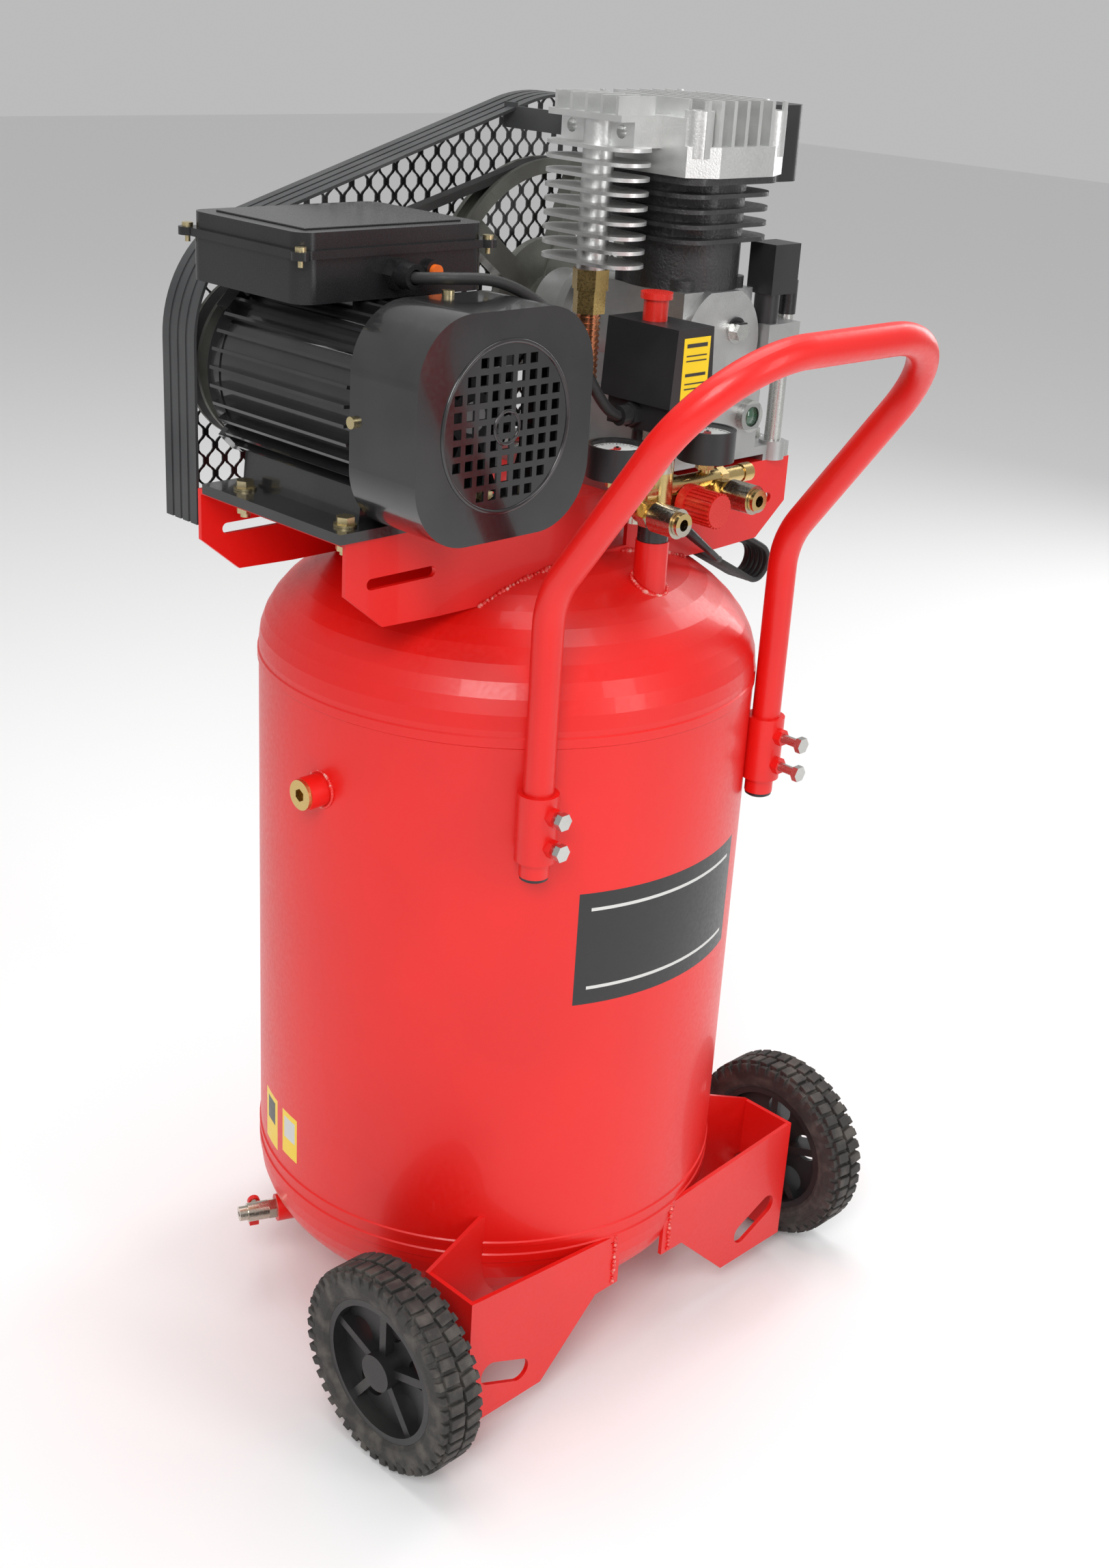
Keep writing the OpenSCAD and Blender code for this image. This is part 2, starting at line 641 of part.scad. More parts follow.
module motor_screws() at_tank() color(brass) {
    for (p = ear_xy) {
        rod_z(p[0], p[1], 2, box_z1 - 8, box_z1 + 3);
        rod_z(p[0], p[1], 4.2, box_z1 + 3, box_z1 + 6);
    }
    for (a = [0:3]) translate([motor_x, frame_y0 - 17, motor_z]) rotate([0, 90 * a, 0])
        rod_z(0, 0, 4.5, a % 2 == 0 ? cowl_half - 2.5 : cowl_half,
            a % 2 == 0 ? cowl_half + 1 : cowl_half + 3.5);
    for (sx = [-1, 1], sy = [-1, 1]) {
        x = motor_x + sx * foot_pitch_x / 2;
        y = motor_y + sy * foot_pitch_y / 2;
        rod_z(x, y, foot_bolt_r, plat_under - 10, plat_z + 10);
        rod_z(x, y, 9, plat_z + 8.1, plat_z + 10);
        hex_z(x, y, 7.5, plat_z + 10, plat_z + 15.5);
        difference() {
            hex_z(x, y, 7.5, plat_under - 6.5, plat_under);
            rod_z(x, y, foot_bolt_r, plat_under - 7, plat_under + 1);
        }
    }
}

fan_y = frame_y0 - 17;
shaft_end = fly_y + fly_w;
module rotor_shaft() at_tank() color(steel) {
    rod_y(motor_x, motor_z, shaft_r, fan_y - 32, shaft_end);
    rod_y(motor_x, motor_z, 45, frame_y0 + 25, frame_y1 - 25);
}
module cooling_fan() at_tank() color(black) difference() {
    union() {
        rod_y(motor_x, motor_z, 20, fan_y - 30, fan_y);
        rod_y(motor_x, motor_z, 66, fan_y - 5, fan_y - 2);
        for (i = [0:6]) translate([motor_x, 0, motor_z]) rotate([0, 360 / 7 * i, 0])
            block(-1.5, 1.5, fan_y - 30, fan_y - 3, 18, 66);
    }
    rod_y(motor_x, motor_z, shaft_r, fan_y - 40, fan_y + 10);
}
groove_d = 7.5;
groove_w = belt_w + 2 * belt_gap;
belt_y = fly_y + fly_w / 2;
module pulley_groove(x, z, r)
    ring_y(x, z, r + 5, r - groove_d, belt_y - groove_w / 2, belt_y + groove_w / 2);
module motor_pulley() at_tank() color(iron) difference() {
    union() {
        rod_y(motor_x, motor_z, 24, frame_y1 + shield_t + 4, shaft_end);
        rod_y(motor_x, motor_z, pulley_r, fly_y + 1, shaft_end - 1);
    }
    pulley_groove(motor_x, motor_z, pulley_r);
    rod_y(motor_x, motor_z, shaft_r, 0, shaft_end + 1);
    for (i = [0:4]) translate([motor_x, 0, motor_z]) rotate([0, 72 * i, 0])
        rod_y(43, 0, 11, fly_y - 20, shaft_end + 1);
}

// ---------------------------------------------------------------- pump

crank_z = plat_z + crank_h;
case_top = plat_z + case_h;
cyl_top = case_top + cyl_h;
web_y0 = cyl_y + 18;
web_y1 = web_y0 + 16;
web_r = throw + 17;
main_r = 15;
main_brg_r = 31;
case_y0 = cyl_y - 46;
case_back = cyl_y + 58;
neck_y = cyl_y + 96;
neck_end = cyl_y + 141;
case_bore = web_r + 2;
barrel_r = case_bore + 6;
cover_t = 8;
base_t = 14;

module ball_bearings() at_tank() color(steel) {
    ring_y(motor_x, motor_z, bearing_r - 0.02, shaft_r + run_gap, frame_y1, frame_y1 + shield_t);
    ring_y(motor_x, motor_z, bearing_r - 0.02, shaft_r + run_gap, frame_y0 - 12, frame_y0);
    ring_y(pump_x, crank_z, main_brg_r - 0.02, main_r + run_gap, web_y1 + 27, web_y1 + 47);
    ring_y(pump_x, crank_z, main_brg_r - 0.02, main_r + run_gap, neck_end - 25, neck_end - 7);
}
sight_x = pump_x + 42;
sight_z = plat_z + 48;
plug_x = pump_x + 16;
plug_z = crank_z + 11;
breath_x = pump_x + 60;
breath_y = case_y0 - 4;
bulge_top = crank_z + 14;
filler_x = pump_x + 100;
filler_y = case_y0 + 6;
module crankcase() at_tank() color(aluminium) difference() {
    union() {
        block(pump_x - 118, pump_x + 120, case_y0 + 2, neck_y, plat_z, plat_z + base_t);
        block(pump_x - 44, pump_x + 44, case_y0, case_back, plat_z + 8, case_top);
        block(pump_x - 58, pump_x + 58, case_y0, case_back - 20, plat_z + 8, plat_z + 70);
        rod_y(pump_x, crank_z, barrel_r, case_y0, case_back);
        rod_y(pump_x, crank_z, main_brg_r + 10, case_back - 2, neck_y);
        rod_y(pump_x, crank_z, main_brg_r + 19, neck_y - 6, neck_y + 4);
        rod_y(pump_x, crank_z, main_brg_r + 6, neck_y, neck_end);
        block(pump_x + 40, pump_x + 92, case_y0, case_y0 + 17, bulge_top - 30, bulge_top);
        block(pump_x + 50, pump_x + 92, case_y0 - 18, case_y0 + 1, bulge_top - 30, bulge_top);
        rod_z(filler_x, filler_y, 12, plat_z, plat_z + 17);
    }
    rod_y(pump_x, crank_z, case_bore, case_y0 - 1, web_y1 + 1.5);
    rod_y(pump_x, crank_z, main_r + 3, case_y0, neck_end + 1);
    rod_y(pump_x, crank_z, main_brg_r, web_y1, web_y1 + 47);
    rod_y(pump_x, crank_z, main_brg_r, neck_end - 25, neck_end + 1);
    rod_z(pump_x, cyl_y, bore_r + 2, crank_z, case_top + 1);
    block(pump_x - 50, pump_x + 50, case_y0 - 1, case_back - 28, plat_z + 20, plat_z + 62);
    block(pump_x - 60, pump_x + 60, case_y0 - 1, case_back + 1, case_top, case_top + 20);
    block(pump_x - 84, pump_x + 84, case_y0 - 1, neck_y + 1, plat_z - 1, plat_z + 6);
    for (sx = [-1, 1], y = pump_bolt_y)
        rod_z(pump_x + sx * pump_bolt_x, y, pump_bolt_r + 0.3, plat_z - 1, plat_z + base_t + 1);
    rod_z(pipe_x, pipe_y, 12, plat_z - 1, plat_z + base_t + 1);
    rod_z(breath_x, breath_y, 6, bulge_top - 12, bulge_top + 1);
}
module crankcase_cover() at_tank() color(aluminium) difference() {
    union() {
        rod_y(pump_x, crank_z, barrel_r, case_y0 - cover_t, case_y0);
        block(pump_x - 58, pump_x + 58, case_y0 - cover_t, case_y0, plat_z + base_t + 1, plat_z + 70);
    }
    rod_y(sight_x, sight_z, 9, case_y0 - cover_t - 1, case_y0 + 1);
    block(pump_x - 60, pump_x + 60, case_y0 - 20, case_y0 + 1, case_top, case_top + 20);
    rod_y(plug_x, plug_z, 7, case_y0 - cover_t - 1, case_y0 + 1);
}
module oil_fittings() at_tank() {
    color(steel) {
        ring_y(sight_x, sight_z, 14, 8.9, case_y0 - cover_t - 7, case_y0 - cover_t);
        rod_y(plug_x, plug_z, 6.9, case_y0 - cover_t, case_y0);
        rod_y(plug_x, plug_z, 11, case_y0 - cover_t - 2, case_y0 - cover_t);
        hex_y(plug_x, plug_z, 8.5, case_y0 - cover_t - 9, case_y0 - cover_t - 2);
    }
    color("darkgreen") rod_y(sight_x, sight_z, 8.9, case_y0 - cover_t - 4, case_y0 - 1);
    color(aluminium) rod_z(filler_x, filler_y, 7.5, plat_z + 17, plat_z + 130);
    color(black) rod_z(filler_x, filler_y, 9, plat_z + 130, plat_z + 159);
}
module breather() at_tank() color(black) {
    rod_z(breath_x, breath_y, 5.9, bulge_top - 10, bulge_top);
    rod_z(breath_x, breath_y, 11, bulge_top, bulge_top + 25);
    block(breath_x - 12, breath_x + 22, breath_y - 14, breath_y + 14, bulge_top + 25, bulge_top + 67);
}

head_bolt_x = 46;
head_bolt_y = 48;
head_bolt_r = 4;
module head_bolt_holes(z0, z1, r) for (sx = [-1, 1], sy = [-1, 1])
    rod_z(pump_x + sx * head_bolt_x, cyl_y + sy * head_bolt_y, r, z0, z1);
module cylinder_plate(w, d, r, z, t) translate([pump_x, cyl_y, z]) linear_extrude(t) round_rect(w, d, r);
fin_w = 116;
fin_d = 112;
fin_first = 40;
fin_pitch = 12;
module pump_barrel() at_tank() color(black) difference() {
    union() {
        rod_z(pump_x, cyl_y, bore_r + 10, case_top, cyl_top);
        cylinder_plate(84, 84, 10, case_top, 9);
        for (i = [0:3]) cylinder_plate(fin_w, fin_d, 26, case_top + fin_first + i * fin_pitch, 3.5);
        cylinder_plate(fin_w, fin_d + 6, 20, cyl_top - 6, 6);
    }
    rod_z(pump_x, cyl_y, bore_r, case_top - 1, cyl_top + 1);
    head_bolt_holes(cyl_top - 7, cyl_top + 1, head_bolt_r + 0.1);
}
head_w = 122;
head_d = 128;
valve_t = 15;
head_z1 = cyl_top + valve_t + 44;
module head_outline() translate([pump_x, cyl_y])
    polygon([[-head_w / 2, -head_d / 2 + 13], [-head_w / 2 + 27, -head_d / 2],
    [head_w / 2 - 27, -head_d / 2], [head_w / 2, -head_d / 2 + 13], [head_w / 2, head_d / 2 - 13],
    [head_w / 2 - 27, head_d / 2], [-head_w / 2 + 27, head_d / 2], [-head_w / 2, head_d / 2 - 13]]);
module valve_plate() at_tank() color(aluminium) difference() {
    translate([0, 0, cyl_top]) linear_extrude(valve_t) head_outline();
    head_bolt_holes(cyl_top - 1, cyl_top + valve_t + 1, head_bolt_r + 0.1);
    for (sx = [-1, 1]) rod_z(pump_x + sx * 18, cyl_y, 9, cyl_top - 1, cyl_top + valve_t + 1);
}
module cylinder_head() at_tank() color(aluminium) difference() {
    union() {
        translate([0, 0, cyl_top + valve_t]) linear_extrude(9) head_outline();
        block(pump_x - 61, pump_x + 61, cyl_y - 48, cyl_y + 48, cyl_top + valve_t, head_z1 - 14);
        for (i = [-3:3]) block(pump_x + 16 * i - 2, pump_x + 16 * i + 2, cyl_y - 60, cyl_y + 60,
            cyl_top + valve_t, head_z1);
        for (sx = [-1, 1], sy = [-1, 1])
            rod_z(pump_x + sx * head_bolt_x, cyl_y + sy * head_bolt_y, 12, cyl_top + valve_t,
                head_z1 - 8);
    }
    head_bolt_holes(cyl_top + valve_t - 1, head_z1 + 1, head_bolt_r + 0.1);
    head_bolt_holes(head_z1 - 22, head_z1 + 1, 9);
    block(pump_x - 50, pump_x - 4, cyl_y - 34, cyl_y + 34, cyl_top + valve_t - 1, head_z1 - 18);
    block(pump_x + 4, pump_x + 50, cyl_y - 34, cyl_y + 34, cyl_top + valve_t - 1, head_z1 - 18);
}
module pump_bolts() at_tank() color(steel) {
    difference() {
        union() {
            head_bolt_holes(cyl_top - 6, head_z1 - 22, head_bolt_r);
            head_bolt_holes(head_z1 - 22, head_z1 - 14, 7);
        }
        head_bolt_holes(head_z1 - 18, head_z1, 3.4);
    }
    for (sx = [-1, 1], y = pump_bolt_y) {
        x = pump_x + sx * pump_bolt_x;
        rod_z(x, y, pump_bolt_r, plat_under - 11, plat_z + base_t + 2);
        rod_z(x, y, 10, plat_z + base_t, plat_z + base_t + 2);
        hex_z(x, y, 8, plat_z + base_t + 2, plat_z + base_t + 8);
        difference() {
            hex_z(x, y, 8, plat_under - 7.5, plat_under);
            rod_z(x, y, pump_bolt_r, plat_under - 8, plat_under + 1);
        }
    }
}
module air_filter() at_tank() color(black) {
    x = pump_x + head_w / 2;
    translate([x + 21.5, cyl_y + 2, cyl_top - 8]) linear_extrude(62) round_rect(43, 84, 14);
    rod_x(cyl_y, cyl_top + 34, 10, x, x + 10);
}

module crankshaft() at_tank() color(steel) {
    rod_y(pump_x, crank_z, main_r, web_y1, shaft_end);
    rod_y(pump_x, crank_z, web_r, web_y0, web_y1);
}
spoke_half = 11;
module flywheel() at_tank() color(iron) difference() {
    union() {
        ring_y(pump_x, crank_z, fly_r, fly_r - 12.5, fly_y, fly_y + fly_w);
        rod_y(pump_x, crank_z, 26, fly_y - 8, fly_y + fly_w);
        rod_y(pump_x, crank_z, 60, fly_y + 5, fly_y + 13);
        for (i = [0:4]) translate([pump_x, 0, crank_z]) rotate([0, 72 * i + 20, 0])
            block(-spoke_half, spoke_half, fly_y + 3, fly_y + fly_w - 3, 20, fly_r - 12);
    }
    pulley_groove(pump_x, crank_z, fly_r);
    rod_y(pump_x, crank_z, main_r, 0, shaft_end + 1);
}

// Piston and rod stand at the bottom of the stroke.
crank_pin_z = crank_z - throw;
wrist_z = crank_pin_z + rod_l;
pin_r = 9;
wrist_r = 8;
rod_half = 12;
piston_z0 = case_top + 1;
piston_z1 = cyl_top - 1 - 2 * throw;
module piston() at_tank() color(aluminium) difference() {
    rod_z(pump_x, cyl_y, bore_r - run_gap, piston_z0, piston_z1);
    rod_z(pump_x, cyl_y, bore_r - 6, piston_z0 - 1, piston_z1 - 8);
    rod_x(cyl_y, wrist_z, wrist_r, pump_x - bore_r - 1, pump_x + bore_r + 1);
}
module connecting_rod() at_tank() color(steel) {
    difference() {
        union() {
            rod_y(pump_x, crank_pin_z, 15, cyl_y - rod_half, cyl_y + rod_half);
            block(pump_x - 8, pump_x + 8, cyl_y - 5, cyl_y + 5, crank_pin_z + 10, wrist_z - 8);
            rod_x(cyl_y, wrist_z, 13, pump_x - rod_half, pump_x + rod_half);
        }
        rod_y(pump_x, crank_pin_z, pin_r, cyl_y - rod_half - 1, cyl_y + rod_half + 1);
        rod_x(cyl_y, wrist_z, wrist_r, pump_x - rod_half - 1, pump_x + rod_half + 1);
    }
    rod_y(pump_x, crank_pin_z, pin_r, cyl_y - rod_half, web_y0 - 0.3);
    rod_x(cyl_y, wrist_z, wrist_r, pump_x - bore_r + 3, pump_x + bore_r - 3);
}

// ---------------------------------------------------------------- discharge post and pipe

post_z1 = head_z1 - 14;
post_z0 = post_z1 - 123;
head_x0 = pump_x - head_w / 2;
post_fin_n = 9;
post_pitch = 11.3;
module discharge_post() at_tank() color(aluminium) difference() {
    union() {
        rod_z(pipe_x, pipe_y, 13, post_z0, post_z1);
        block(pipe_x, head_x0, pipe_y - 38, pipe_y + 44, post_z1 - 25, post_z1);
        for (i = [0:4]) block(pipe_x - 16, head_x0 - 5, pipe_y - 34 + 17 * i, pipe_y - 31 + 17 * i,
            post_z1 - 3, head_z1);
        block(pipe_x - 16, head_x0 - 5, pipe_y - 38, pipe_y + 44, post_z1 - 5, post_z1);
        for (i = [0:post_fin_n - 1]) translate([pipe_x, pipe_y, post_z1 - 27 - post_pitch * i])
            linear_extrude(3)
            round_rect(46, 100, 22.9);
    }
    rod_z(pipe_x, pipe_y, 7, post_z0 - 1, post_z1 - 12);
    rod_x(pipe_y, post_z1 - 14, 6, pipe_x, head_x0 + 1);
    for (y = [pipe_y - 24, pipe_y + 32]) rod_x(y, post_z1 - 13, 5.5, pipe_x - 1, pipe_x + 7);
}
pipe_dome_z = seam_top + head_skirt + head_h;
module discharge_pipe() at_tank() {
    color(brass) {
        hex_z(pipe_x, pipe_y, 15.6, post_z0 - 17, post_z0);
        hex_z(pipe_x, pipe_y, 13.9, post_z0 - 36, post_z0 - 17);
        difference() {
            hex_z(pipe_x, pipe_y, 14, pipe_dome_z - 30, pipe_dome_z + 12);
            tank_solid();
        }
    }
    color(copper) {
        rod_z(pipe_x, pipe_y, 5, pipe_dome_z + 12, post_z0 - 36);
        rod_z(pipe_x, pipe_y, 9.4, post_z0 - 96, post_z0 - 36);
        for (i = [0:11]) rod_z(pipe_x, pipe_y, 10.5, post_z0 - 95 + 5 * i, post_z0 - 93.5 + 5 * i);
    }
}

// ---------------------------------------------------------------- belt and guard

// Outline round two circles at a and b, joined by their outer tangents.
module two_circles(a, ra, b, rb) {
    d = norm(b - a);
    at = atan2(b[1] - a[1], b[0] - a[0]);
    off = acos((ra - rb) / d);
    n1 = [cos(at + off), sin(at + off)];
    n2 = [cos(at - off), sin(at - off)];
    translate(a) circle(ra, $fn = 96);
    translate(b) circle(rb, $fn = 96);
    polygon([a + ra * n1, b + rb * n1, b + rb * n2, a + ra * n2]);
}
belt_t = 7;
module belt_loop(out) two_circles([motor_x, motor_z], pulley_r - groove_d + belt_gap + out,
    [pump_x, crank_z], fly_r - groove_d + belt_gap + out);
module drive_belt() at_tank() color(black) plate_y(belt_y - belt_w / 2, belt_y + belt_w / 2)
    difference() {
    belt_loop(belt_t);
    belt_loop(0);
}
guard_y0 = plat_y1 + 2;
guard_y1 = fly_y + fly_w + 9;
guard_z0 = plat_z - 31;
guard_wall = 2.5;
guard_x0 = -260;
guard_x1 = fly_r + pump_x + 14;
guard_r1 = fly_r + 20;
guard_r0 = 100;
module guard_outline(inset) {
    two_circles([guard_x0 + guard_r0, motor_z + 20], guard_r0 - inset, [guard_x1 - guard_r1,
        crank_z + 35], guard_r1 - inset);
    polygon([[guard_x0 + inset, guard_z0 + inset], [guard_x0 + inset, motor_z + 20],
        [guard_x1 - inset, crank_z + 35], [guard_x1 - inset, guard_z0 + inset]]);
}
module guard_rim() at_tank() color([0.2, 0.2, 0.21]) {
    difference() {
        plate_y(guard_y0, guard_y1) guard_outline(0);
        plate_y(guard_y0 - 1, guard_y1 + 1) guard_outline(guard_wall);
        for (y = [guard_y0 + 9, guard_y0 + 20, guard_y0 + 31]) plate_y(y, y + 3) difference() {
            guard_outline(-3);
            guard_outline(0.9);
        }
    }
    for (sx = [-1, 1]) translate([sx * 190, 0, 0])
        block(-15, 15, plat_y1, guard_y0 + 1, guard_z0, guard_z0 + 18);
    block(head_x0 - 3, head_x0, pipe_y + 44, guard_y0 + 1, post_z1 - 25, post_z1 - 7);
    block(head_x0 - 3, head_x0, guard_y0, guard_y0 + 14, post_z1 - 25, crank_z + 178);
}
mesh_px = 17;
mesh_pz = 30;
module guard_mesh() at_tank() color(black) difference() {
    plate_y(guard_y1 - 2, guard_y1) guard_outline(guard_wall);
    for (i = [-15:16], j = [0:10]) {
        x = i * mesh_px + (j % 2) * mesh_px / 2;
        z = guard_z0 + 24 + j * mesh_pz;
        left = norm([x - guard_x0 - guard_r0, z - motor_z - 20])
            < guard_r0 - 18 || x > guard_x0 + guard_r0;
        low = z < motor_z + 10 && x > guard_x0 + 12;
        right = norm([x - guard_x1 + guard_r1, z - crank_z - 35]) < guard_r1 - 18;
        slope = z < motor_z + 100 + (x - guard_x0 - guard_r0) * 0.29 && x < guard_x1 - guard_r1;
        if (low && x < guard_x1 - 12 || right || left && slope && x < guard_x1 - guard_r1)
            translate([x, guard_y1, z]) cube([10, 10, 20], center = true);
    }
}

// ---------------------------------------------------------------- switch and manifold

line_y = -riser_y - 2;
switch_z = plat_z + 61;
switch_x0 = riser_x - 19;
switch_x1 = riser_x + 23;
switch_y0 = line_y - 25;
switch_y1 = line_y + 51;
knob_y = line_y + 18;
cord_x = riser_x + 14;
cord_y = line_y + 36;
lead_y = line_y + 18;
lead_z = switch_z + 12;
module switch_base() at_tank() color(black) difference() {
    union() {
        block(switch_x0 + 3, switch_x1 - 3, switch_y0 + 3, switch_y1 - 3, switch_z, switch_z + 23);
        block(switch_x0 + 8, switch_x1 - 8, switch_y0 + 10, switch_y1 - 10, switch_z + 23, switch_z + 58);
        hex_z(cord_x, cord_y, 10, switch_z - 8, switch_z);
        rod_z(cord_x, cord_y, 8, switch_z - 20, switch_z - 8);
        hex_x(lead_y, lead_z, 10, switch_x0 - 6, switch_x0 + 3);
        rod_x(lead_y, lead_z, 8, switch_x0 - 16, switch_x0 - 6);
    }
    rod_z(cord_x, cord_y, 4.4, switch_z - 21, switch_z + 10);
    rod_x(lead_y, lead_z, 4.6, switch_x0 - 17, switch_x0 + 14);
}
cover_z0 = switch_z + 23;
cover_z1 = switch_z + 85;
module cover_outline(w) polygon([[switch_x0 - 4 + w, cover_z0 - 1], [switch_x1 + 4 - w, cover_z0 - 1],
    [switch_x1 - w, cover_z1 - w], [switch_x0 + w, cover_z1 - w]]);
module switch_cover() at_tank() color(black) difference() {
    intersection() {
        plate_y(switch_y0, switch_y1) cover_outline(0);
        block(switch_x0 - 9, switch_x1 + 9, switch_y0, switch_y1, cover_z0, cover_z1);
    }
    plate_y(switch_y0 + 2, switch_y1 - 2) cover_outline(2);
    rod_z(riser_x, knob_y, knob_r + run_gap, cover_z1 - 5, cover_z1 + 1);
}
module switch_knob() at_tank() color("red") {
    rod_z(riser_x, knob_y, knob_r, cover_z1 - 14, cover_z1 + 17);
    rod_z(riser_x, knob_y, knob_r + 3, cover_z1 + 17, cover_z1 + 22);
}

bar_z = plat_z + 12;
bar_x0 = -32;
bar_x1 = 97;
gauge_x = [-27, 82];
gauge_z0 = plat_z + 30;
gauge_h = 26;
coupler_x = [0, 93];
coupler_z = [plat_z - 2, plat_z + 4];
coupler_y0 = line_y - 10;
coupler_l = 43;
reg_x = 54;
reg_z = plat_z - 1;
bore = 4.8;
module coupler(x, z) difference() {
    union() {
        rod_y(x, z, 9, coupler_y0, line_y);
        hex_y(x, z, 11, coupler_y0 - 8, coupler_y0);
        rod_y(x, z, 8.5, coupler_y0 - coupler_l + 5, coupler_y0 - 8);
        rod_y(x, z, 9.5, coupler_y0 - coupler_l, coupler_y0 - coupler_l + 5);
    }
    rod_y(x, z, bore, coupler_y0 - coupler_l - 1, coupler_y0 - 15);
}
module sleeve(i) at_tank() color(steel) ring_y(coupler_x[i], coupler_z[i], 12.3, 8.5 + run_gap,
    coupler_y0 - coupler_l + 5.3, coupler_y0 - 13);
module coupler_sleeve_left() sleeve(0);
module coupler_sleeve_right() sleeve(1);
valve_x0 = bar_x1;
valve_x1 = valve_x0 + 31;
module manifold() at_tank() {
    color(black) rod_z(riser_x, -riser_y, riser_r - 1, riser_z, riser_z + 14);
    color(steel) {
        difference() {
            union() {
                hex_z(riser_x, -riser_y, 17, riser_z + 14, riser_z + 26);
                rod_z(riser_x, -riser_y, 13, riser_z + 26, switch_z - 10);
                hex_z(riser_x, -riser_y, 15, switch_z - 10, switch_z);
            }
            rod_z(riser_x, -riser_y, 6, riser_z + 13, riser_z + 30);
        }
        rod_x(line_y, bar_z, 8, bar_x0, bar_x1);
        for (i = [0, 1]) {
            rod_z(gauge_x[i], line_y, 5, bar_z, gauge_z0);
            hex_z(gauge_x[i], line_y, 8, gauge_z0 - 8, gauge_z0);
            rod_z(coupler_x[i], line_y, 9.5, coupler_z[i] - 9, bar_z);
            coupler(coupler_x[i], coupler_z[i]);
        }
        rod_y(reg_x, reg_z, 19, line_y - 6, line_y + 12);
        rod_y(reg_x, reg_z, 8, line_y - 12, line_y);
    }
    color(brass) {
        hex_x(line_y, bar_z, 9, valve_x0, valve_x0 + 9);
        rod_x(line_y, bar_z, 7, valve_x0 + 9, valve_x1);
        rod_x(line_y, bar_z, 3, valve_x1, valve_x1 + 8);
    }
}
rib_ring = 24;
module regulator_knob() at_tank() color("red") difference() {
    union() {
        rod_y(reg_x, reg_z, 13.5, line_y - 44, line_y - 8.5);
        rod_y(reg_x, reg_z, 16, line_y - 17, line_y - 8.5);
        for (i = [0:rib_ring - 1]) translate([reg_x, 0, reg_z]) rotate([0, 360 / rib_ring * i, 0])
            block(-1, 1, line_y - 43, line_y - 14, 11, 14.8);
    }
    rod_y(reg_x, reg_z, 8 + run_gap, line_y - 13, line_y);
}
module safety_cap() at_tank() color(brass) difference() {
    rod_x(line_y, bar_z, 8, valve_x1 + 0.3, valve_x1 + 12);
    rod_x(line_y, bar_z, 3 + run_gap, valve_x1, valve_x1 + 9);
}
module gauge(x) {
    color(black) difference() {
        rod_z(x, line_y, gauge_r, gauge_z0, gauge_z0 + gauge_h);
        rod_z(x, line_y, gauge_r - 2.5, gauge_z0 + gauge_h - 6, gauge_z0 + gauge_h + 1);
    }
    color("white") rod_z(x, line_y, gauge_r - 2.5, gauge_z0 + gauge_h - 6, gauge_z0 + gauge_h - 5);
    rod_z(x, line_y, 1.2, gauge_z0 + gauge_h - 6, gauge_z0 + gauge_h - 2);
}
module gauges() at_tank() for (x = gauge_x) gauge(x);
module needle(x) at_tank() color("red") difference() {
    union() {
        rod_z(x, line_y, 3, gauge_z0 + gauge_h - 4.5, gauge_z0 + gauge_h - 3);
        block(x - 16, x, line_y - 0.7, line_y + 0.7, gauge_z0 + gauge_h - 4.5, gauge_z0 + gauge_h - 3.5);
    }
    rod_z(x, line_y, 1.25, gauge_z0, gauge_z0 + gauge_h);
}
module gauge_needle_left() needle(gauge_x[0]);
module gauge_needle_right() needle(gauge_x[1]);

// ---------------------------------------------------------------- cords

lead_r = 4.5;
lead_points = [[gland_x, box_y0 - 10, gland_z], [gland_x, box_y0 - 26, gland_z], [-172, -98, 990],
    [-140, -112, 988],
    [-104, -118, 972], [-70, -122, 942], [-45, -123, 908], [-26, -123, 886],
    [switch_x0 - 16, lead_y, lead_z], [switch_x0, lead_y, lead_z]];
module motor_lead() at_tank() color(black) swept(lead_points, lead_r, 4, [0.2, 0.6, 1]);
cord_r = 2.75;
cord_points = [[cord_x, cord_y, switch_z - 4], [cord_x, cord_y, switch_z - 22], [42, -107, 822],
    [50, -110, 800], [68, -111, 783], [92, -112, 768], [120, -112, 748.5], [142, -111, 731],
    [158, -103, 724.5], [166, -93, 721.5], [177, -85, 717]];
module mains_cord() at_tank() color(black) swept(cord_points, cord_r, 4, [0.5, -0.8, 0.1]);
hank_x = 207;
hank_y = -52;
hank_z = 719.5;
hank_l = 116;
hank_w = 38;
hank_d = 33;
hank_turn = 28;
module hank_outline(l, w) slot_2d([-(l - w) / 2, 0], [(l - w) / 2, 0], w / 2);
module cord_hank() at_tank() color(black) translate([hank_x, hank_y, hank_z]) rotate([90, 0, 0])
    linear_extrude(hank_d) rotate(-hank_turn) difference() {
        hank_outline(hank_l, hank_w);
        hank_outline(hank_l - 12, hank_w - 12);
    }
module mains_plug() at_tank() translate([hank_x, hank_y + 11, hank_z]) rotate([0, hank_turn, 0]) {
    color(black) block(-45, -5, -11, 11, 2, 24);
    color(black) rod_x(0, 13, 5, -5, 12);
    color(brass) for (sy = [-1, 1]) rod_x(6 * sy, 13, 2.2, -62, -45);
}

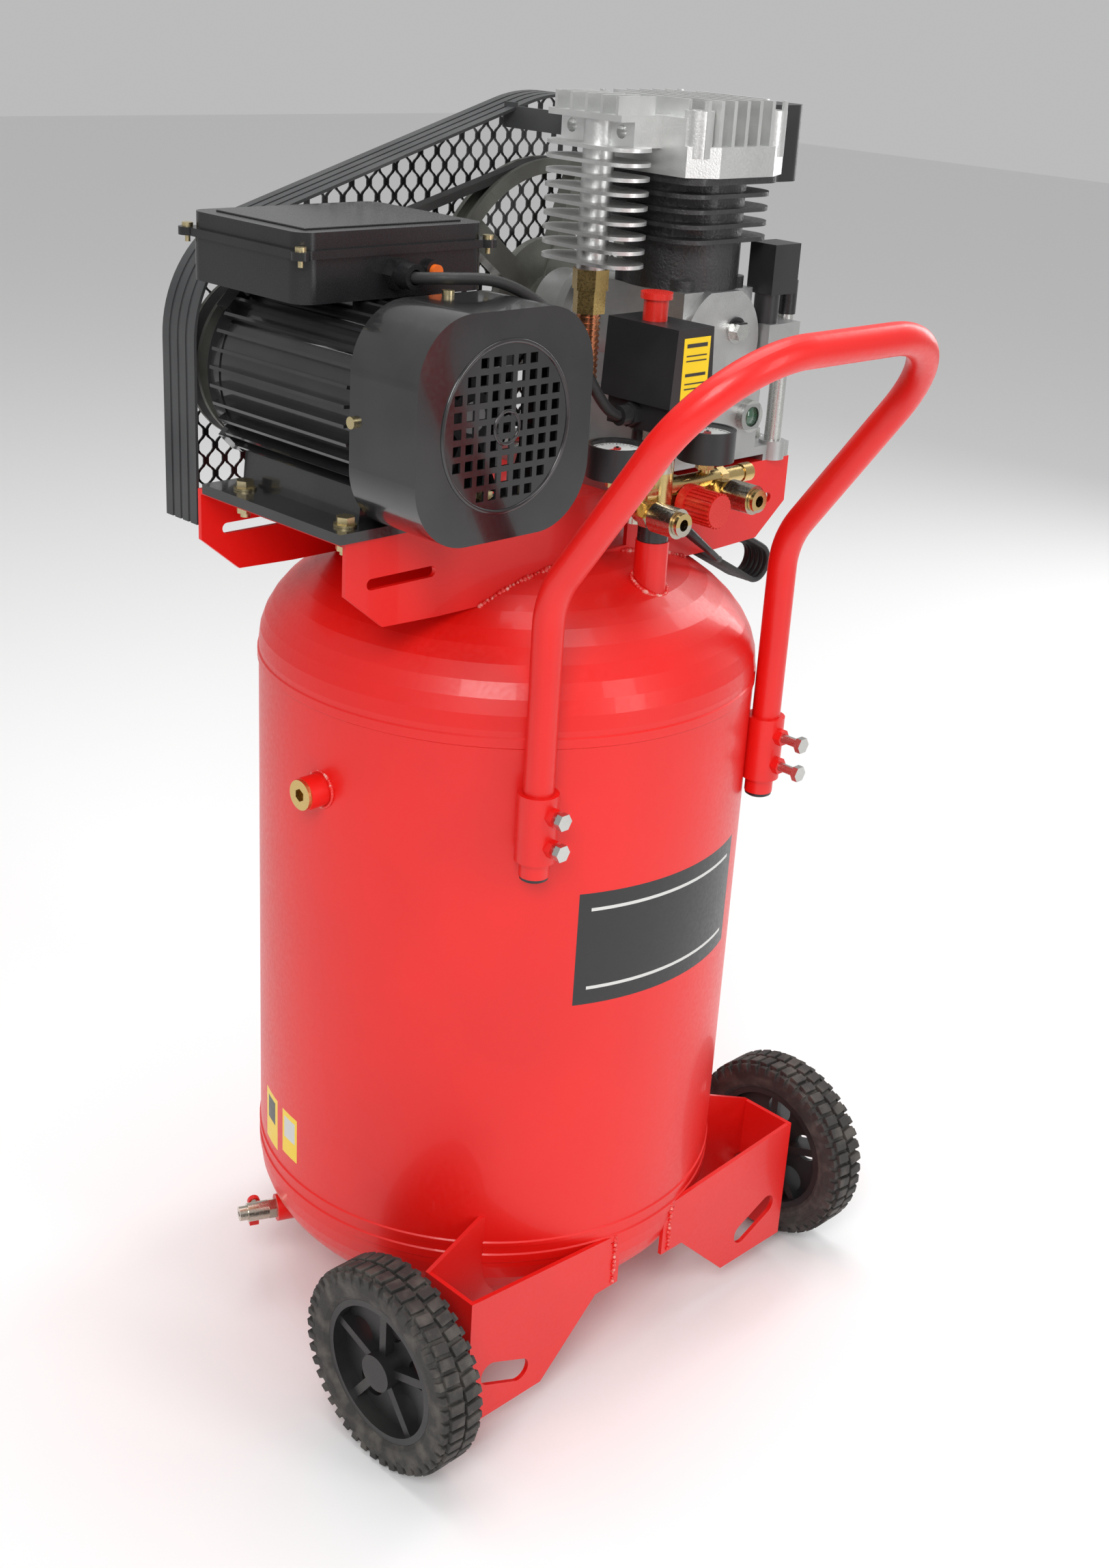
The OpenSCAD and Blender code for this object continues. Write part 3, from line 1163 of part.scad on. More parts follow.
tank_barrel();
tank_heads();
welded_sockets();
side_plug();
drain_valve();
drain_lever();
platform();
handle_tube();
chassis_bolts();
wheel_brackets();
rim_left();
rim_right();
tyre_left();
tyre_right();
rubber_foot();
motor_frame();
motor_windings();
motor_end_shields();
fan_cowl();
terminal_box();
terminal_box_lid();
reset_button();
motor_screws();
rotor_shaft();
cooling_fan();
motor_pulley();
ball_bearings();
crankcase();
crankcase_cover();
oil_fittings();
breather();
pump_barrel();
valve_plate();
cylinder_head();
pump_bolts();
air_filter();
crankshaft();
flywheel();
piston();
connecting_rod();
discharge_post();
discharge_pipe();
drive_belt();
guard_rim();
guard_mesh();
switch_base();
switch_cover();
switch_knob();
manifold();
regulator_knob();
coupler_sleeve_left();
coupler_sleeve_right();
safety_cap();
gauges();
gauge_needle_left();
gauge_needle_right();
motor_lead();
mains_cord();
cord_hank();
mains_plug();
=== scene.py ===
import math
import bpy
import bmesh
from mathutils import Matrix, Vector


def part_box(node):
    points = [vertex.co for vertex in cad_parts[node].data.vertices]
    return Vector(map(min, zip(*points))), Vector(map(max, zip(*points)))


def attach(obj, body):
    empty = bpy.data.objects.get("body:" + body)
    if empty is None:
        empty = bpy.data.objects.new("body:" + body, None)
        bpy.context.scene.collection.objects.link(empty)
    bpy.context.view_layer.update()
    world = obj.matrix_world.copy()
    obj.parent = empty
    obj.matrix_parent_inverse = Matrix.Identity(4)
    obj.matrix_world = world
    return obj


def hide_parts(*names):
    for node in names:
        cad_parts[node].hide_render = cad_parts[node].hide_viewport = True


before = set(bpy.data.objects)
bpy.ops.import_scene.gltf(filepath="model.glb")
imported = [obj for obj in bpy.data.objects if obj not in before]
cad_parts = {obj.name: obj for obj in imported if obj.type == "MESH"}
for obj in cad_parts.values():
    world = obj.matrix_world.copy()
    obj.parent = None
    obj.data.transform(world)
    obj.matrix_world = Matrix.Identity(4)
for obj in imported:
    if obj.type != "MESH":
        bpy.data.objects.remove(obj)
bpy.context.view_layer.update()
MM = 0.001
TANK_Y = (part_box("tank_barrel")[0][1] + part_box("tank_barrel")[1][1]) / 2


def at(x, y, z):
    """A place given in millimetres from the tank's axis and the floor."""
    return Vector((x * MM, y * MM + TANK_Y, z * MM))


# ------------------------------------------------------------------ camera and light

def aim(obj, target, roll=0.0):
    back = (obj.location - target).normalized()
    level = back.to_track_quat("Z", "Y")
    obj.rotation_euler = (level @ Matrix.Rotation(roll, 3, "Z").to_quaternion()).to_euler()


IMAGE_TALL = 2296
FOCAL_LENGTH = 2763.9
SENSOR_TALL = 36.0
CAMERA_ROLL = math.radians(3.57)
camera = bpy.data.objects.new("camera", bpy.data.cameras.new("camera"))
bpy.context.scene.collection.objects.link(camera)
camera.data.sensor_fit = "VERTICAL"
camera.data.sensor_height = SENSOR_TALL
camera.data.lens = FOCAL_LENGTH * SENSOR_TALL / IMAGE_TALL
camera.location = at(-1114.8, -1142.1, 1199.7)
aim(camera, at(-5.6, -73.5, 537.1), CAMERA_ROLL)
bpy.context.scene.camera = camera


def softbox(name, place, target, width, height, watts):
    light = bpy.data.objects.new(name, bpy.data.lights.new(name, "AREA"))
    light.data.shape = "RECTANGLE"
    light.data.size, light.data.size_y, light.data.energy = width, height, watts
    light.location = place
    aim(light, target)
    bpy.context.scene.collection.objects.link(light)


middle = Vector((0, 0, 0.6))
softbox("key_light", Vector((-2.2, -1.6, 2.6)), middle, 1.3, 1.3, 58)
softbox("front_light", Vector((0.6, -3.0, 1.6)), middle, 0.8, 2.0, 24)
softbox("right_light", Vector((3.0, 0.2, 1.8)), middle, 0.9, 2.2, 30)
softbox("top_light", Vector((0.2, 0.4, 3.2)), middle, 2.2, 2.2, 46)
WORLD_LIGHT = 0.5
world = bpy.data.worlds.new("studio")
bpy.context.scene.world = world
world.use_nodes = True
world.node_tree.nodes["Background"].inputs["Color"].default_value = (1, 1, 1, 1)
world.node_tree.nodes["Background"].inputs["Strength"].default_value = WORLD_LIGHT
bpy.context.scene.view_settings.view_transform = "Standard"


# ------------------------------------------------------------------ materials

def link_chain(tree, *pairs):
    for source, target in pairs:
        tree.links.new(source, target)


def mottle_group():
    """Shared effect: broad patches and fine grain over a surface."""
    tree = bpy.data.node_groups.new("patches and grain", "ShaderNodeTree")
    face = tree.interface
    face.new_socket("Vector", in_out="INPUT", socket_type="NodeSocketVector")
    face.new_socket("Patch Scale", in_out="INPUT", socket_type="NodeSocketFloat")
    face.new_socket("Grain Scale", in_out="INPUT", socket_type="NodeSocketFloat")
    face.new_socket("Patches", in_out="OUTPUT", socket_type="NodeSocketFloat")
    face.new_socket("Grain", in_out="OUTPUT", socket_type="NodeSocketFloat")
    enter, leave = tree.nodes.new("NodeGroupInput"), tree.nodes.new("NodeGroupOutput")
    for source, target, detail in (("Patch Scale", "Patches", 3.0), ("Grain Scale", "Grain", 2.0)):
        noise = tree.nodes.new("ShaderNodeTexNoise")
        noise.inputs["Detail"].default_value = detail
        link_chain(tree, (enter.outputs["Vector"], noise.inputs["Vector"]),
                   (enter.outputs[source], noise.inputs["Scale"]),
                   (noise.outputs["Fac"], leave.inputs[target]))
    return tree


MOTTLE = mottle_group()


def new_material(name, rough, metal=0.0, coat=0.0, specular=0.5):
    material = bpy.data.materials.new(name)
    material.use_nodes = True
    shader = material.node_tree.nodes["Principled BSDF"]
    shader.inputs["Roughness"].default_value = rough
    shader.inputs["Metallic"].default_value = metal
    shader.inputs["Coat Weight"].default_value = coat
    shader.inputs["Coat Roughness"].default_value = 0.06
    shader.inputs["Specular IOR Level"].default_value = specular
    return material, material.node_tree, shader


def mix_colour(tree, factor, first, second):
    """Colour between two, each a socket or a plain colour."""
    mix = tree.nodes.new("ShaderNodeMix")
    mix.data_type = "RGBA"
    tree.links.new(factor, mix.inputs["Factor"])
    for value, socket in ((first, mix.inputs[6]), (second, mix.inputs[7])):
        if isinstance(value, tuple):
            socket.default_value = (*value, 1)
        else:
            tree.links.new(value, socket)
    return mix.outputs[2]


def stretch(tree, value, low, high, out_low, out_high):
    span = tree.nodes.new("ShaderNodeMapRange")
    for name, number in (("From Min", low), ("From Max", high), ("To Min", out_low), ("To Max", out_high)):
        span.inputs[name].default_value = number
    tree.links.new(value, span.inputs["Value"])
    return span.outputs["Result"]


def maths(tree, kind, first, second=None):
    node = tree.nodes.new("ShaderNodeMath")
    node.operation = kind
    for value, socket in ((first, node.inputs[0]), (second, node.inputs[1])):
        if isinstance(value, (int, float)):
            socket.default_value = value
        elif value is not None:
            tree.links.new(value, socket)
    return node.outputs[0]


def finish(name, base, second, rough=(0.3, 0.4), metal=0.0, coat=0.0, patch=14.0, grain=400.0, bump=0.1,
           depth=0.0003, patch_span=(0.42, 0.62)):
    material, tree, shader = new_material(name, sum(rough) / 2, metal, coat)
    where = tree.nodes.new("ShaderNodeTexCoord").outputs["Object"]
    group = tree.nodes.new("ShaderNodeGroup")
    group.node_tree = MOTTLE
    group.inputs["Patch Scale"].default_value = patch
    group.inputs["Grain Scale"].default_value = grain
    tree.links.new(where, group.inputs["Vector"])
    mask = stretch(tree, group.outputs["Patches"], *patch_span, 0, 1)
    colour = mix_colour(tree, mask, base, second)
    height = tree.nodes.new("ShaderNodeBump")
    height.inputs["Strength"].default_value = bump
    height.inputs["Distance"].default_value = depth
    link_chain(tree, (colour, shader.inputs["Base Color"]),
               (stretch(tree, group.outputs["Grain"], 0.3, 0.7, *rough), shader.inputs["Roughness"]),
               (group.outputs["Grain"], height.inputs["Height"]),
               (height.outputs["Normal"], shader.inputs["Normal"]))
    return material


RED = (0.74, 0.006, 0.003)
RED_DEEP = (0.68, 0.005, 0.003)
red_paint = finish("red gloss paint", RED, RED_DEEP, (0.36, 0.46), coat=0.15, patch=5, grain=260,
                   bump=0.012)
black_gloss = finish("black gloss paint", (0.012, 0.012, 0.013), (0.02, 0.02, 0.021), (0.14, 0.24),
                     coat=0.5, grain=350,
                     bump=0.015)
black_plastic = finish("black moulded plastic", (0.014, 0.014, 0.015), (0.02, 0.02, 0.021),
                       (0.32, 0.46), grain=900,
                       bump=0.12)
box_plastic = finish("smooth black box", (0.012, 0.012, 0.013), (0.016, 0.016, 0.017), (0.2, 0.3),
                     grain=1200, bump=0.04)
guard_plastic = finish("dark grey guard plastic", (0.035, 0.036, 0.038), (0.05, 0.051, 0.053),
                       (0.38, 0.5), grain=900,
                       bump=0.1)
rubber = finish("black rubber", (0.013, 0.013, 0.013), (0.022, 0.021, 0.02), (0.5, 0.65), grain=600,
                bump=0.1)
belt_rubber = finish("belt rubber", (0.02, 0.02, 0.02), (0.035, 0.034, 0.033), (0.6, 0.75), grain=900,
                     bump=0.3)
zinc = finish("bright zinc", (0.60, 0.60, 0.58), (0.55, 0.545, 0.52), (0.22, 0.34), metal=1.0,
              grain=700, bump=0.25, depth=0.00002)
yellow_zinc = finish("yellow zinc", (0.62, 0.52, 0.29), (0.56, 0.48, 0.30), (0.25, 0.38), metal=1.0,
                     grain=700, bump=0.25, depth=0.00002)
nickel = finish("nickel plate", (0.56, 0.52, 0.44), (0.52, 0.48, 0.40), (0.18, 0.3), metal=1.0,
                patch=40, grain=500,
                bump=0.25, depth=0.00002)
brass = finish("brass", (0.64, 0.46, 0.18), (0.58, 0.41, 0.17), (0.24, 0.34), metal=1.0, grain=700,
               bump=0.25,
               depth=0.00002)
copper = finish("copper tube", (0.62, 0.28, 0.14), (0.54, 0.25, 0.13), (0.25, 0.38), metal=1.0,
                patch=60, grain=700,
                bump=0.25, depth=0.00002)
cast_aluminium = finish("cast aluminium", (0.50, 0.505, 0.50), (0.44, 0.445, 0.44), (0.36, 0.5),
                        metal=0.9, patch=30,
                        grain=800, bump=0.35, depth=0.0005)
machined_aluminium = finish("sand-cast head aluminium", (0.74, 0.745, 0.735), (0.67, 0.675, 0.665),
                            (0.3, 0.44), metal=0.9,
                            patch=24, grain=650, bump=0.3, depth=0.0005)
steel = finish("turned steel", (0.55, 0.55, 0.55), (0.48, 0.48, 0.48), (0.25, 0.4), metal=1.0, bump=0.25,
               depth=0.00002)
wheel_iron = finish("flywheel iron", (0.20, 0.205, 0.18), (0.13, 0.13, 0.115), (0.35, 0.5), metal=0.6,
                    patch=20,
                    grain=500, bump=0.25, depth=0.0005)
black_iron = finish("black cast iron", (0.018, 0.018, 0.019), (0.03, 0.03, 0.031), (0.35, 0.55),
                    coat=0.15, patch=30,
                    grain=420, bump=0.6, depth=0.001)
red_plastic = finish("red plastic", (0.62, 0.02, 0.012), (0.55, 0.016, 0.01), (0.22, 0.32), grain=900,
                     bump=0.05)
orange_plastic = finish("orange plastic", (0.85, 0.16, 0.02), (0.8, 0.14, 0.02), (0.25, 0.35),
                        grain=900, bump=0.05)
needle_paint = finish("needle paint", (0.5, 0.02, 0.015), (0.45, 0.02, 0.015), (0.35, 0.45), grain=900,
                      bump=0.03)
dial_white = finish("white dial", (0.82, 0.82, 0.80), (0.78, 0.78, 0.76), (0.4, 0.5), grain=900, bump=0.02)
print_black = finish("black print", (0.02, 0.02, 0.02), (0.03, 0.03, 0.03), (0.4, 0.5), grain=900,
                     bump=0.02)
label_yellow = finish("yellow label", (0.88, 0.62, 0.012), (0.84, 0.58, 0.012), (0.3, 0.4), grain=900,
                      bump=0.02)
sight_green = finish("sight glass", (0.03, 0.09, 0.05), (0.05, 0.14, 0.07), (0.05, 0.1), coat=0.8,
                     grain=200, bump=0.02)
tyre_rubber = finish("tyre rubber", (0.030, 0.028, 0.026), (0.085, 0.076, 0.066), (0.62, 0.8), patch=60,
                     grain=900,
                     bump=0.35, depth=0.0005, patch_span=(0.45, 0.7))
rim_plastic = finish("wheel rim plastic", (0.014, 0.014, 0.015), (0.03, 0.029, 0.028), (0.35, 0.5),
                     grain=900, bump=0.1)


def tank_material():
    """Red paint with a plain dark panel facing the handle and two plain yellow stickers low on the left."""
    material = red_paint.copy()
    material.name = "tank paint with panel"
    tree = material.node_tree
    shader = tree.nodes["Principled BSDF"]
    paint = shader.inputs["Base Color"].links[0].from_socket
    parts = tree.nodes.new("ShaderNodeSeparateXYZ")
    tree.links.new(tree.nodes.new("ShaderNodeTexCoord").outputs["Object"], parts.inputs[0])
    turn = maths(tree, "ARCTAN2", maths(tree, "SUBTRACT", parts.outputs["Y"], TANK_Y), parts.outputs["X"])

    def window(value, low, high):
        return maths(tree, "MULTIPLY", maths(tree, "GREATER_THAN", value, low),
                     maths(tree, "LESS_THAN", value, high))

    def patch(turn_low, turn_high, z_low, z_high):
        return maths(tree, "MULTIPLY", window(turn, math.radians(turn_low), math.radians(turn_high)),
                     window(parts.outputs["Z"], z_low * MM, z_high * MM))

    colour = paint
    for edges, tint in (((-116, -64, 400, 505), (0.012, 0.012, 0.013)),
                        ((-113, -67, 414, 417), (0.62, 0.62, 0.60)),
                        ((-113, -67, 488, 491), (0.62, 0.62, 0.60)),
                        ((157, 165, 172, 226), (0.88, 0.60, 0.012)),
                        ((168, 175, 180, 226), (0.88, 0.60, 0.012)),
                        ((158.5, 163.5, 196, 220), (0.03, 0.03, 0.03)),
                        ((169, 174, 198, 220), (0.6, 0.6, 0.58))):
        colour = mix_colour(tree, patch(*edges), colour, tint)
    tree.links.new(colour, shader.inputs["Base Color"])
    return material


OPEN_ENDED = 2.0  # metres: a side longer than this doesn't limit its box


def zoned(name, look, zones):
    """A copy of a finish, with other colours inside boxes in millimetres: (low, high, colour, metallic)."""
    material = look.copy()
    material.name = name
    tree = material.node_tree
    shader = tree.nodes["Principled BSDF"]
    colour = shader.inputs["Base Color"].links[0].from_socket
    metal = None
    parts = tree.nodes.new("ShaderNodeSeparateXYZ")
    tree.links.new(tree.nodes.new("ShaderNodeTexCoord").outputs["Object"], parts.inputs[0])
    for low, high, tint, metallic in zones:
        mask = None
        for axis, a, b in zip("XYZ", at(*low), at(*high)):
            if b - a < OPEN_ENDED:
                inside = maths(tree, "MULTIPLY", maths(tree, "GREATER_THAN", parts.outputs[axis], a),
                               maths(tree, "LESS_THAN", parts.outputs[axis], b))
                mask = inside if mask is None else maths(tree, "MULTIPLY", mask, inside)
        colour = mix_colour(tree, mask, colour, tint)
        if metal is None:
            metal = stretch(tree, mask, 0, 1, shader.inputs["Metallic"].default_value, metallic)
        else:
            metal = maths(tree, "ADD", maths(tree, "MULTIPLY", metal, maths(tree, "SUBTRACT", 1.0, mask)),
                          maths(tree, "MULTIPLY", mask, metallic))
    tree.links.new(colour, shader.inputs["Base Color"])
    tree.links.new(metal, shader.inputs["Metallic"])
    return material


FAR = 3000
pipe_look = zoned("brass nuts and copper pipe", brass, [
    ((-FAR, -FAR, 880), (FAR, FAR, 939), (0.60, 0.27, 0.14), 1.0),
    ((-FAR, -FAR, 772.2), (FAR, FAR, 880), (0.56, 0.27, 0.16), 1.0)])
oil_look = zoned("oil fittings", zinc, [
    ((225, -FAR, 933), (FAR, FAR, 970), (0.014, 0.014, 0.015), 0.0),
    ((165, -FAR, 840), (190, FAR, 862), (0.45, 0.45, 0.44), 1.0)])
line_look = zoned("nickel line with dark nipple and brass valve", nickel, [
    ((-FAR, -FAR, 770), (40, -120, 786), (0.02, 0.02, 0.02), 0.0),
    ((97, -FAR, 800), (FAR, FAR, 830), (0.62, 0.46, 0.20), 1.0)])
LOOKS = {
    pipe_look: ["discharge_pipe"],
    oil_look: ["oil_fittings"],
    line_look: ["manifold"],
    tank_material(): ["tank_barrel"],
    red_paint: ["tank_heads", "welded_sockets", "platform", "handle_tube", "wheel_brackets", "drain_lever"],
    zinc: ["chassis_bolts", "pump_bolts"],
    nickel: ["coupler_sleeve_left", "coupler_sleeve_right", "drain_valve"],
    yellow_zinc: ["motor_screws"],
    black_plastic: ["cooling_fan", "breather", "air_filter", "switch_base", "switch_cover"],
    rim_plastic: ["rim_left", "rim_right"],
    box_plastic: ["terminal_box", "terminal_box_lid"],
    guard_plastic: ["guard_rim"],
    black_gloss: ["motor_frame", "motor_end_shields", "fan_cowl"],
    rubber: ["rubber_foot", "motor_lead", "mains_plug"],
    belt_rubber: ["drive_belt"],
    copper: ["motor_windings"],
    steel: ["rotor_shaft", "ball_bearings", "crankshaft", "connecting_rod"],
    wheel_iron: ["motor_pulley", "flywheel"],
    black_iron: ["pump_barrel"],
    cast_aluminium: ["crankcase", "crankcase_cover", "piston"],
    machined_aluminium: ["valve_plate", "cylinder_head", "discharge_post"],
    brass: ["safety_cap", "side_plug"],
    red_plastic: ["switch_knob", "regulator_knob"],
    orange_plastic: ["reset_button"],
    needle_paint: ["gauge_needle_left", "gauge_needle_right"],
    black_plastic.copy(): ["gauges"],
}


def paint(obj, material):
    obj.data.materials.clear()
    obj.data.materials.append(material)


for look, names in LOOKS.items():
    for name in names:
        paint(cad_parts[name], look)


# ------------------------------------------------------------------ shared mesh tools

def make_piece(name, shape, material, body, smooth=False, bevel=0.0):
    """A finished mesh piece that rides on a body."""
    bmesh.ops.recalc_face_normals(shape, faces=shape.faces)
    mesh = bpy.data.meshes.new(name)
    shape.to_mesh(mesh)
    shape.free()
    if smooth:
        mesh.shade_smooth()
    obj = bpy.data.objects.new(name, mesh)
    bpy.context.scene.collection.objects.link(obj)
    obj.data.materials.append(material)
    if bevel:
        edge = obj.modifiers.new("edges", "BEVEL")
        edge.width, edge.segments, edge.limit_method = bevel, 2, "ANGLE"
    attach(obj, body)
    return obj


def add_block(shape, centre, size, turn=None):
    """A box of a size in metres, turned about its own centre."""
    turned = turn.to_4x4() if turn else Matrix()
    matrix = Matrix.Translation(centre) @ turned @ Matrix.Diagonal((*size, 1))
    return bmesh.ops.create_cube(shape, size=1.0, matrix=matrix)["verts"]


def add_spin(shape, centre, axis, profile, steps=64):
    """A closed ring or cap: profile is a list of (radius, along) in metres, turned about axis."""
    axis = Vector(axis).normalized()
    side = axis.orthogonal().normalized()
    verts = [shape.verts.new(centre + side * radius + axis * along) for radius, along in profile]
    edges = [shape.edges.new(pair) for pair in zip(verts, verts[1:])]
    bmesh.ops.spin(shape, geom=verts + edges, cent=centre, axis=axis, angle=math.tau, steps=steps,
                   use_merge=True)
    bmesh.ops.remove_doubles(shape, verts=shape.verts, dist=0.00002)


def ring_profile(radius, half_w, half_h, along=0.0):
    """Closed rounded profile of a thin ring."""
    turns = [math.tau * i / 10 for i in range(11)]
    return [(radius + half_w * math.cos(a), along + half_h * math.sin(a)) for a in turns]


def smooth_route(points, steps):
    """Catmull-Rom curve through the points."""
    out = []
    for i in range(len(points) - 1):
        a, b = points[max(i - 1, 0)], points[i]
        c, d = points[i + 1], points[min(i + 2, len(points) - 1)]
        for k in range(steps):
            t = k / steps
            out.append(0.5 * (2 * b + (c - a) * t + (2 * a - 5 * b + 4 * c - d) * t * t
                              + (3 * b - a - 3 * c + d) * t ** 3))
    return out + [points[-1]]


def cord_curve(name, points, radius, material):
    curve = bpy.data.curves.new(name, "CURVE")
    curve.dimensions = "3D"
    curve.bevel_depth = radius
    curve.bevel_resolution = 3
    curve.use_fill_caps = True
    spline = curve.splines.new("POLY")
    spline.points.add(len(points) - 1)
    for point, place in zip(spline.points, points):
        point.co = (*place, 1)
    obj = bpy.data.objects.new(name, curve)
    bpy.context.scene.collection.objects.link(obj)
    curve.materials.append(material)
    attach(obj, "chassis")
    return obj


# ------------------------------------------------------------------ cords

SWITCH_Z = 864
CORD_R = 2.75
cord_points = [at(*p) for p in ((40, -104, SWITCH_Z - 4), (40, -104, SWITCH_Z - 22), (42, -107, 822),
                                (50, -110, 800),
                                (68, -111, 783), (92, -112, 768), (120, -112, 748.5), (142, -111, 731),
                                (158, -103, 724.5), (166, -93, 721.5))]
HANK_TURN = math.radians(28)
HANK_MIDDLE = at(207, -52, 719.5)
ALONG = Vector((math.cos(HANK_TURN), 0, -math.sin(HANK_TURN)))
UP = Vector((math.sin(HANK_TURN), 0, math.cos(HANK_TURN)))
HALF_RUN = 39 * MM
FOLD_R = 16.2 * MM


def hank_point(distance, side, depth):
    return HANK_MIDDLE + ALONG * distance + UP * side + Vector((0, depth, 0))


def hank_route():
    """Flat winding: lower run, right fold, upper run, left fold, each turn a cord's width further back."""
    points = []
    pitch = 5.4 * MM
    start = -30.0 * MM
    for turn in range(5):
        for kind in range(4):
            for step in range(8):
                t = step / 8
                depth = start + (turn + (kind + t) / 4) * pitch
                if kind == 0:
                    points.append(hank_point(-HALF_RUN + 2 * HALF_RUN * t, -FOLD_R, depth))
                elif kind == 1:
                    a = -math.pi / 2 + math.pi * t
                    points.append(hank_point(HALF_RUN + FOLD_R * math.cos(a), FOLD_R * math.sin(a), depth))
                elif kind == 2:
                    points.append(hank_point(HALF_RUN - 2 * HALF_RUN * t, FOLD_R, depth))
                else:
                    a = math.pi / 2 + math.pi * t
                    points.append(hank_point(-HALF_RUN + FOLD_R * math.cos(a), FOLD_R * math.sin(a), depth))
    last = start + 5 * pitch
    for t in (0, 0.25, 0.5, 0.75):
        points.append(hank_point(-HALF_RUN + 2 * HALF_RUN * t, -FOLD_R, last))
    for t in range(7):
        a = -math.pi / 2 + math.pi * t / 6
        points.append(hank_point(HALF_RUN + FOLD_R * math.cos(a), FOLD_R * math.sin(a), last))
    for distance, depth in ((30, 0.5), (22, 4), (16, 8.5), (12, 11)):
        points.append(hank_point(distance * MM, 14.5 * MM, depth * MM))
    return points


full_route = smooth_route(cord_points + hank_route()[2:], 3)
mains = cord_curve("mains_cord_run", full_route, CORD_R * MM, rubber)
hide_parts("mains_cord", "cord_hank")
lead_points = [at(*p) for p in ((-185, -60, 988), (-185, -76, 988), (-172, -98, 990), (-140, -112, 988),
                                (-104, -118, 972),
                                (-70, -122, 942), (-45, -123, 908), (-26, -123, 886), (-9, -122, 876),
                                (7, -122, 876))]
lead = cord_curve("motor_lead_run", smooth_route(lead_points, 8), 4.5 * MM, rubber)
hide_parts("motor_lead")

# The strain relief under the switch, tapered.
shape = bmesh.new()
add_spin(shape, at(91, -112, 768), (29, -0.5, -21),
         [(0, -0.006), (0.0046, -0.005), (0.0044, 0.02), (0.0033, 0.045),
                                                  (0.0029, 0.062), (0, 0.062)], 20)
make_piece("cord_strain_relief", shape, black_plastic, "chassis", smooth=True)


# ------------------------------------------------------------------ tyres

WHEEL_R = 95
TREAD_R = 90.5
BLOCKS = 44
for side, sign in (("left", -1), ("right", 1)):
    centre = at(sign * 261, -170, WHEEL_R)
    shape = bmesh.new()
    wall = [(66, -17), (70, -20), (76, -20.8), (84, -20.6), (88, -18.5), (TREAD_R, -14), (TREAD_R, 14),
            (88, 18.5),
            (84, 20.6), (76, 20.8), (70, 20), (66, 17), (66, -17)]
    add_spin(shape, centre, (1, 0, 0), [(r * MM, x * MM) for r, x in wall], 88)
    for row in (-1, 1):
        for i in range(BLOCKS):
            a = math.tau * (i + 0.25 * row) / BLOCKS
            turn = Matrix.Rotation(a, 3, "X") @ Matrix.Rotation(math.radians(6 * row), 3, "Z")
            out = Matrix.Rotation(a, 3, "X") @ Vector((0, 0, (TREAD_R + 1.4) * MM))
            add_block(shape, centre + out + Vector((row * 8.6 * MM, 0, 0)),
                      (14.5 * MM, 9.4 * MM, 5.4 * MM), turn)
            out = Matrix.Rotation(a + 0.03, 3, "X") @ Vector((0, 0, 86.5 * MM))
            add_block(shape, centre + out + Vector((row * 18.4 * MM, 0, 0)),
                      (5.2 * MM, 7.4 * MM, 10 * MM), turn)
    tyre = make_piece("tyre_tread_" + side, shape, tyre_rubber, "wheel_" + side,
                      bevel=0.0007)
    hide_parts("tyre_" + side)

# ------------------------------------------------------------------ guard mesh

GUARD_LEFT, GUARD_RIGHT = (-160, 916, 97.5), (132, 951, 147.5)
SLOPE_START, SLOPE_END = (-188.2, 1009.3), (89.4, 1092.2)


def guard_top(x):
    if x < SLOPE_START[0]:
        cx, cz, r = GUARD_LEFT
        return cz + math.sqrt(max(r * r - (x - cx) ** 2, 0))
    if x > SLOPE_END[0]:
        cx, cz, r = GUARD_RIGHT
        return cz + math.sqrt(max(r * r - (x - cx) ** 2, 0))
    part = (x - SLOPE_START[0]) / (SLOPE_END[0] - SLOPE_START[0])
    return SLOPE_START[1] + part * (SLOPE_END[1] - SLOPE_START[1])


STRAND_PITCH, STRAND_SWING, STRAND_RISE, STRAND_W, STRAND_T = 9.4, 3.4, 12.0, 2.9, 1.2
shape = bmesh.new()
for i in range(57):
    base = -254 + STRAND_PITCH * i
    top = guard_top(base)
    rings = []
    z = 775.0
    while z < top:
        wave = math.cos(math.pi * (z - 775) / STRAND_RISE + math.pi * i)
        x = base + STRAND_SWING * max(-1, min(1, 1.5 * wave))
        if z < guard_top(x):
            ring = []
            for dx, dy in ((-1, -1), (1, -1), (1, 1), (-1, 1)):
                ring.append(shape.verts.new(at(x + dx * STRAND_W / 2, 142.2 + dy * STRAND_T / 2, z)))
            rings.append(ring)
        z += STRAND_RISE / 5
    for low, high in zip(rings, rings[1:]):
        for k in range(4):
            shape.faces.new((low[k], low[(k + 1) % 4], high[(k + 1) % 4], high[k]))
    if rings:
        shape.faces.new(rings[0])
        shape.faces.new(rings[-1])
guard = make_piece("expanded_mesh", shape, black_gloss, "chassis")
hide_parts("guard_mesh")

# ------------------------------------------------------------------ gauges

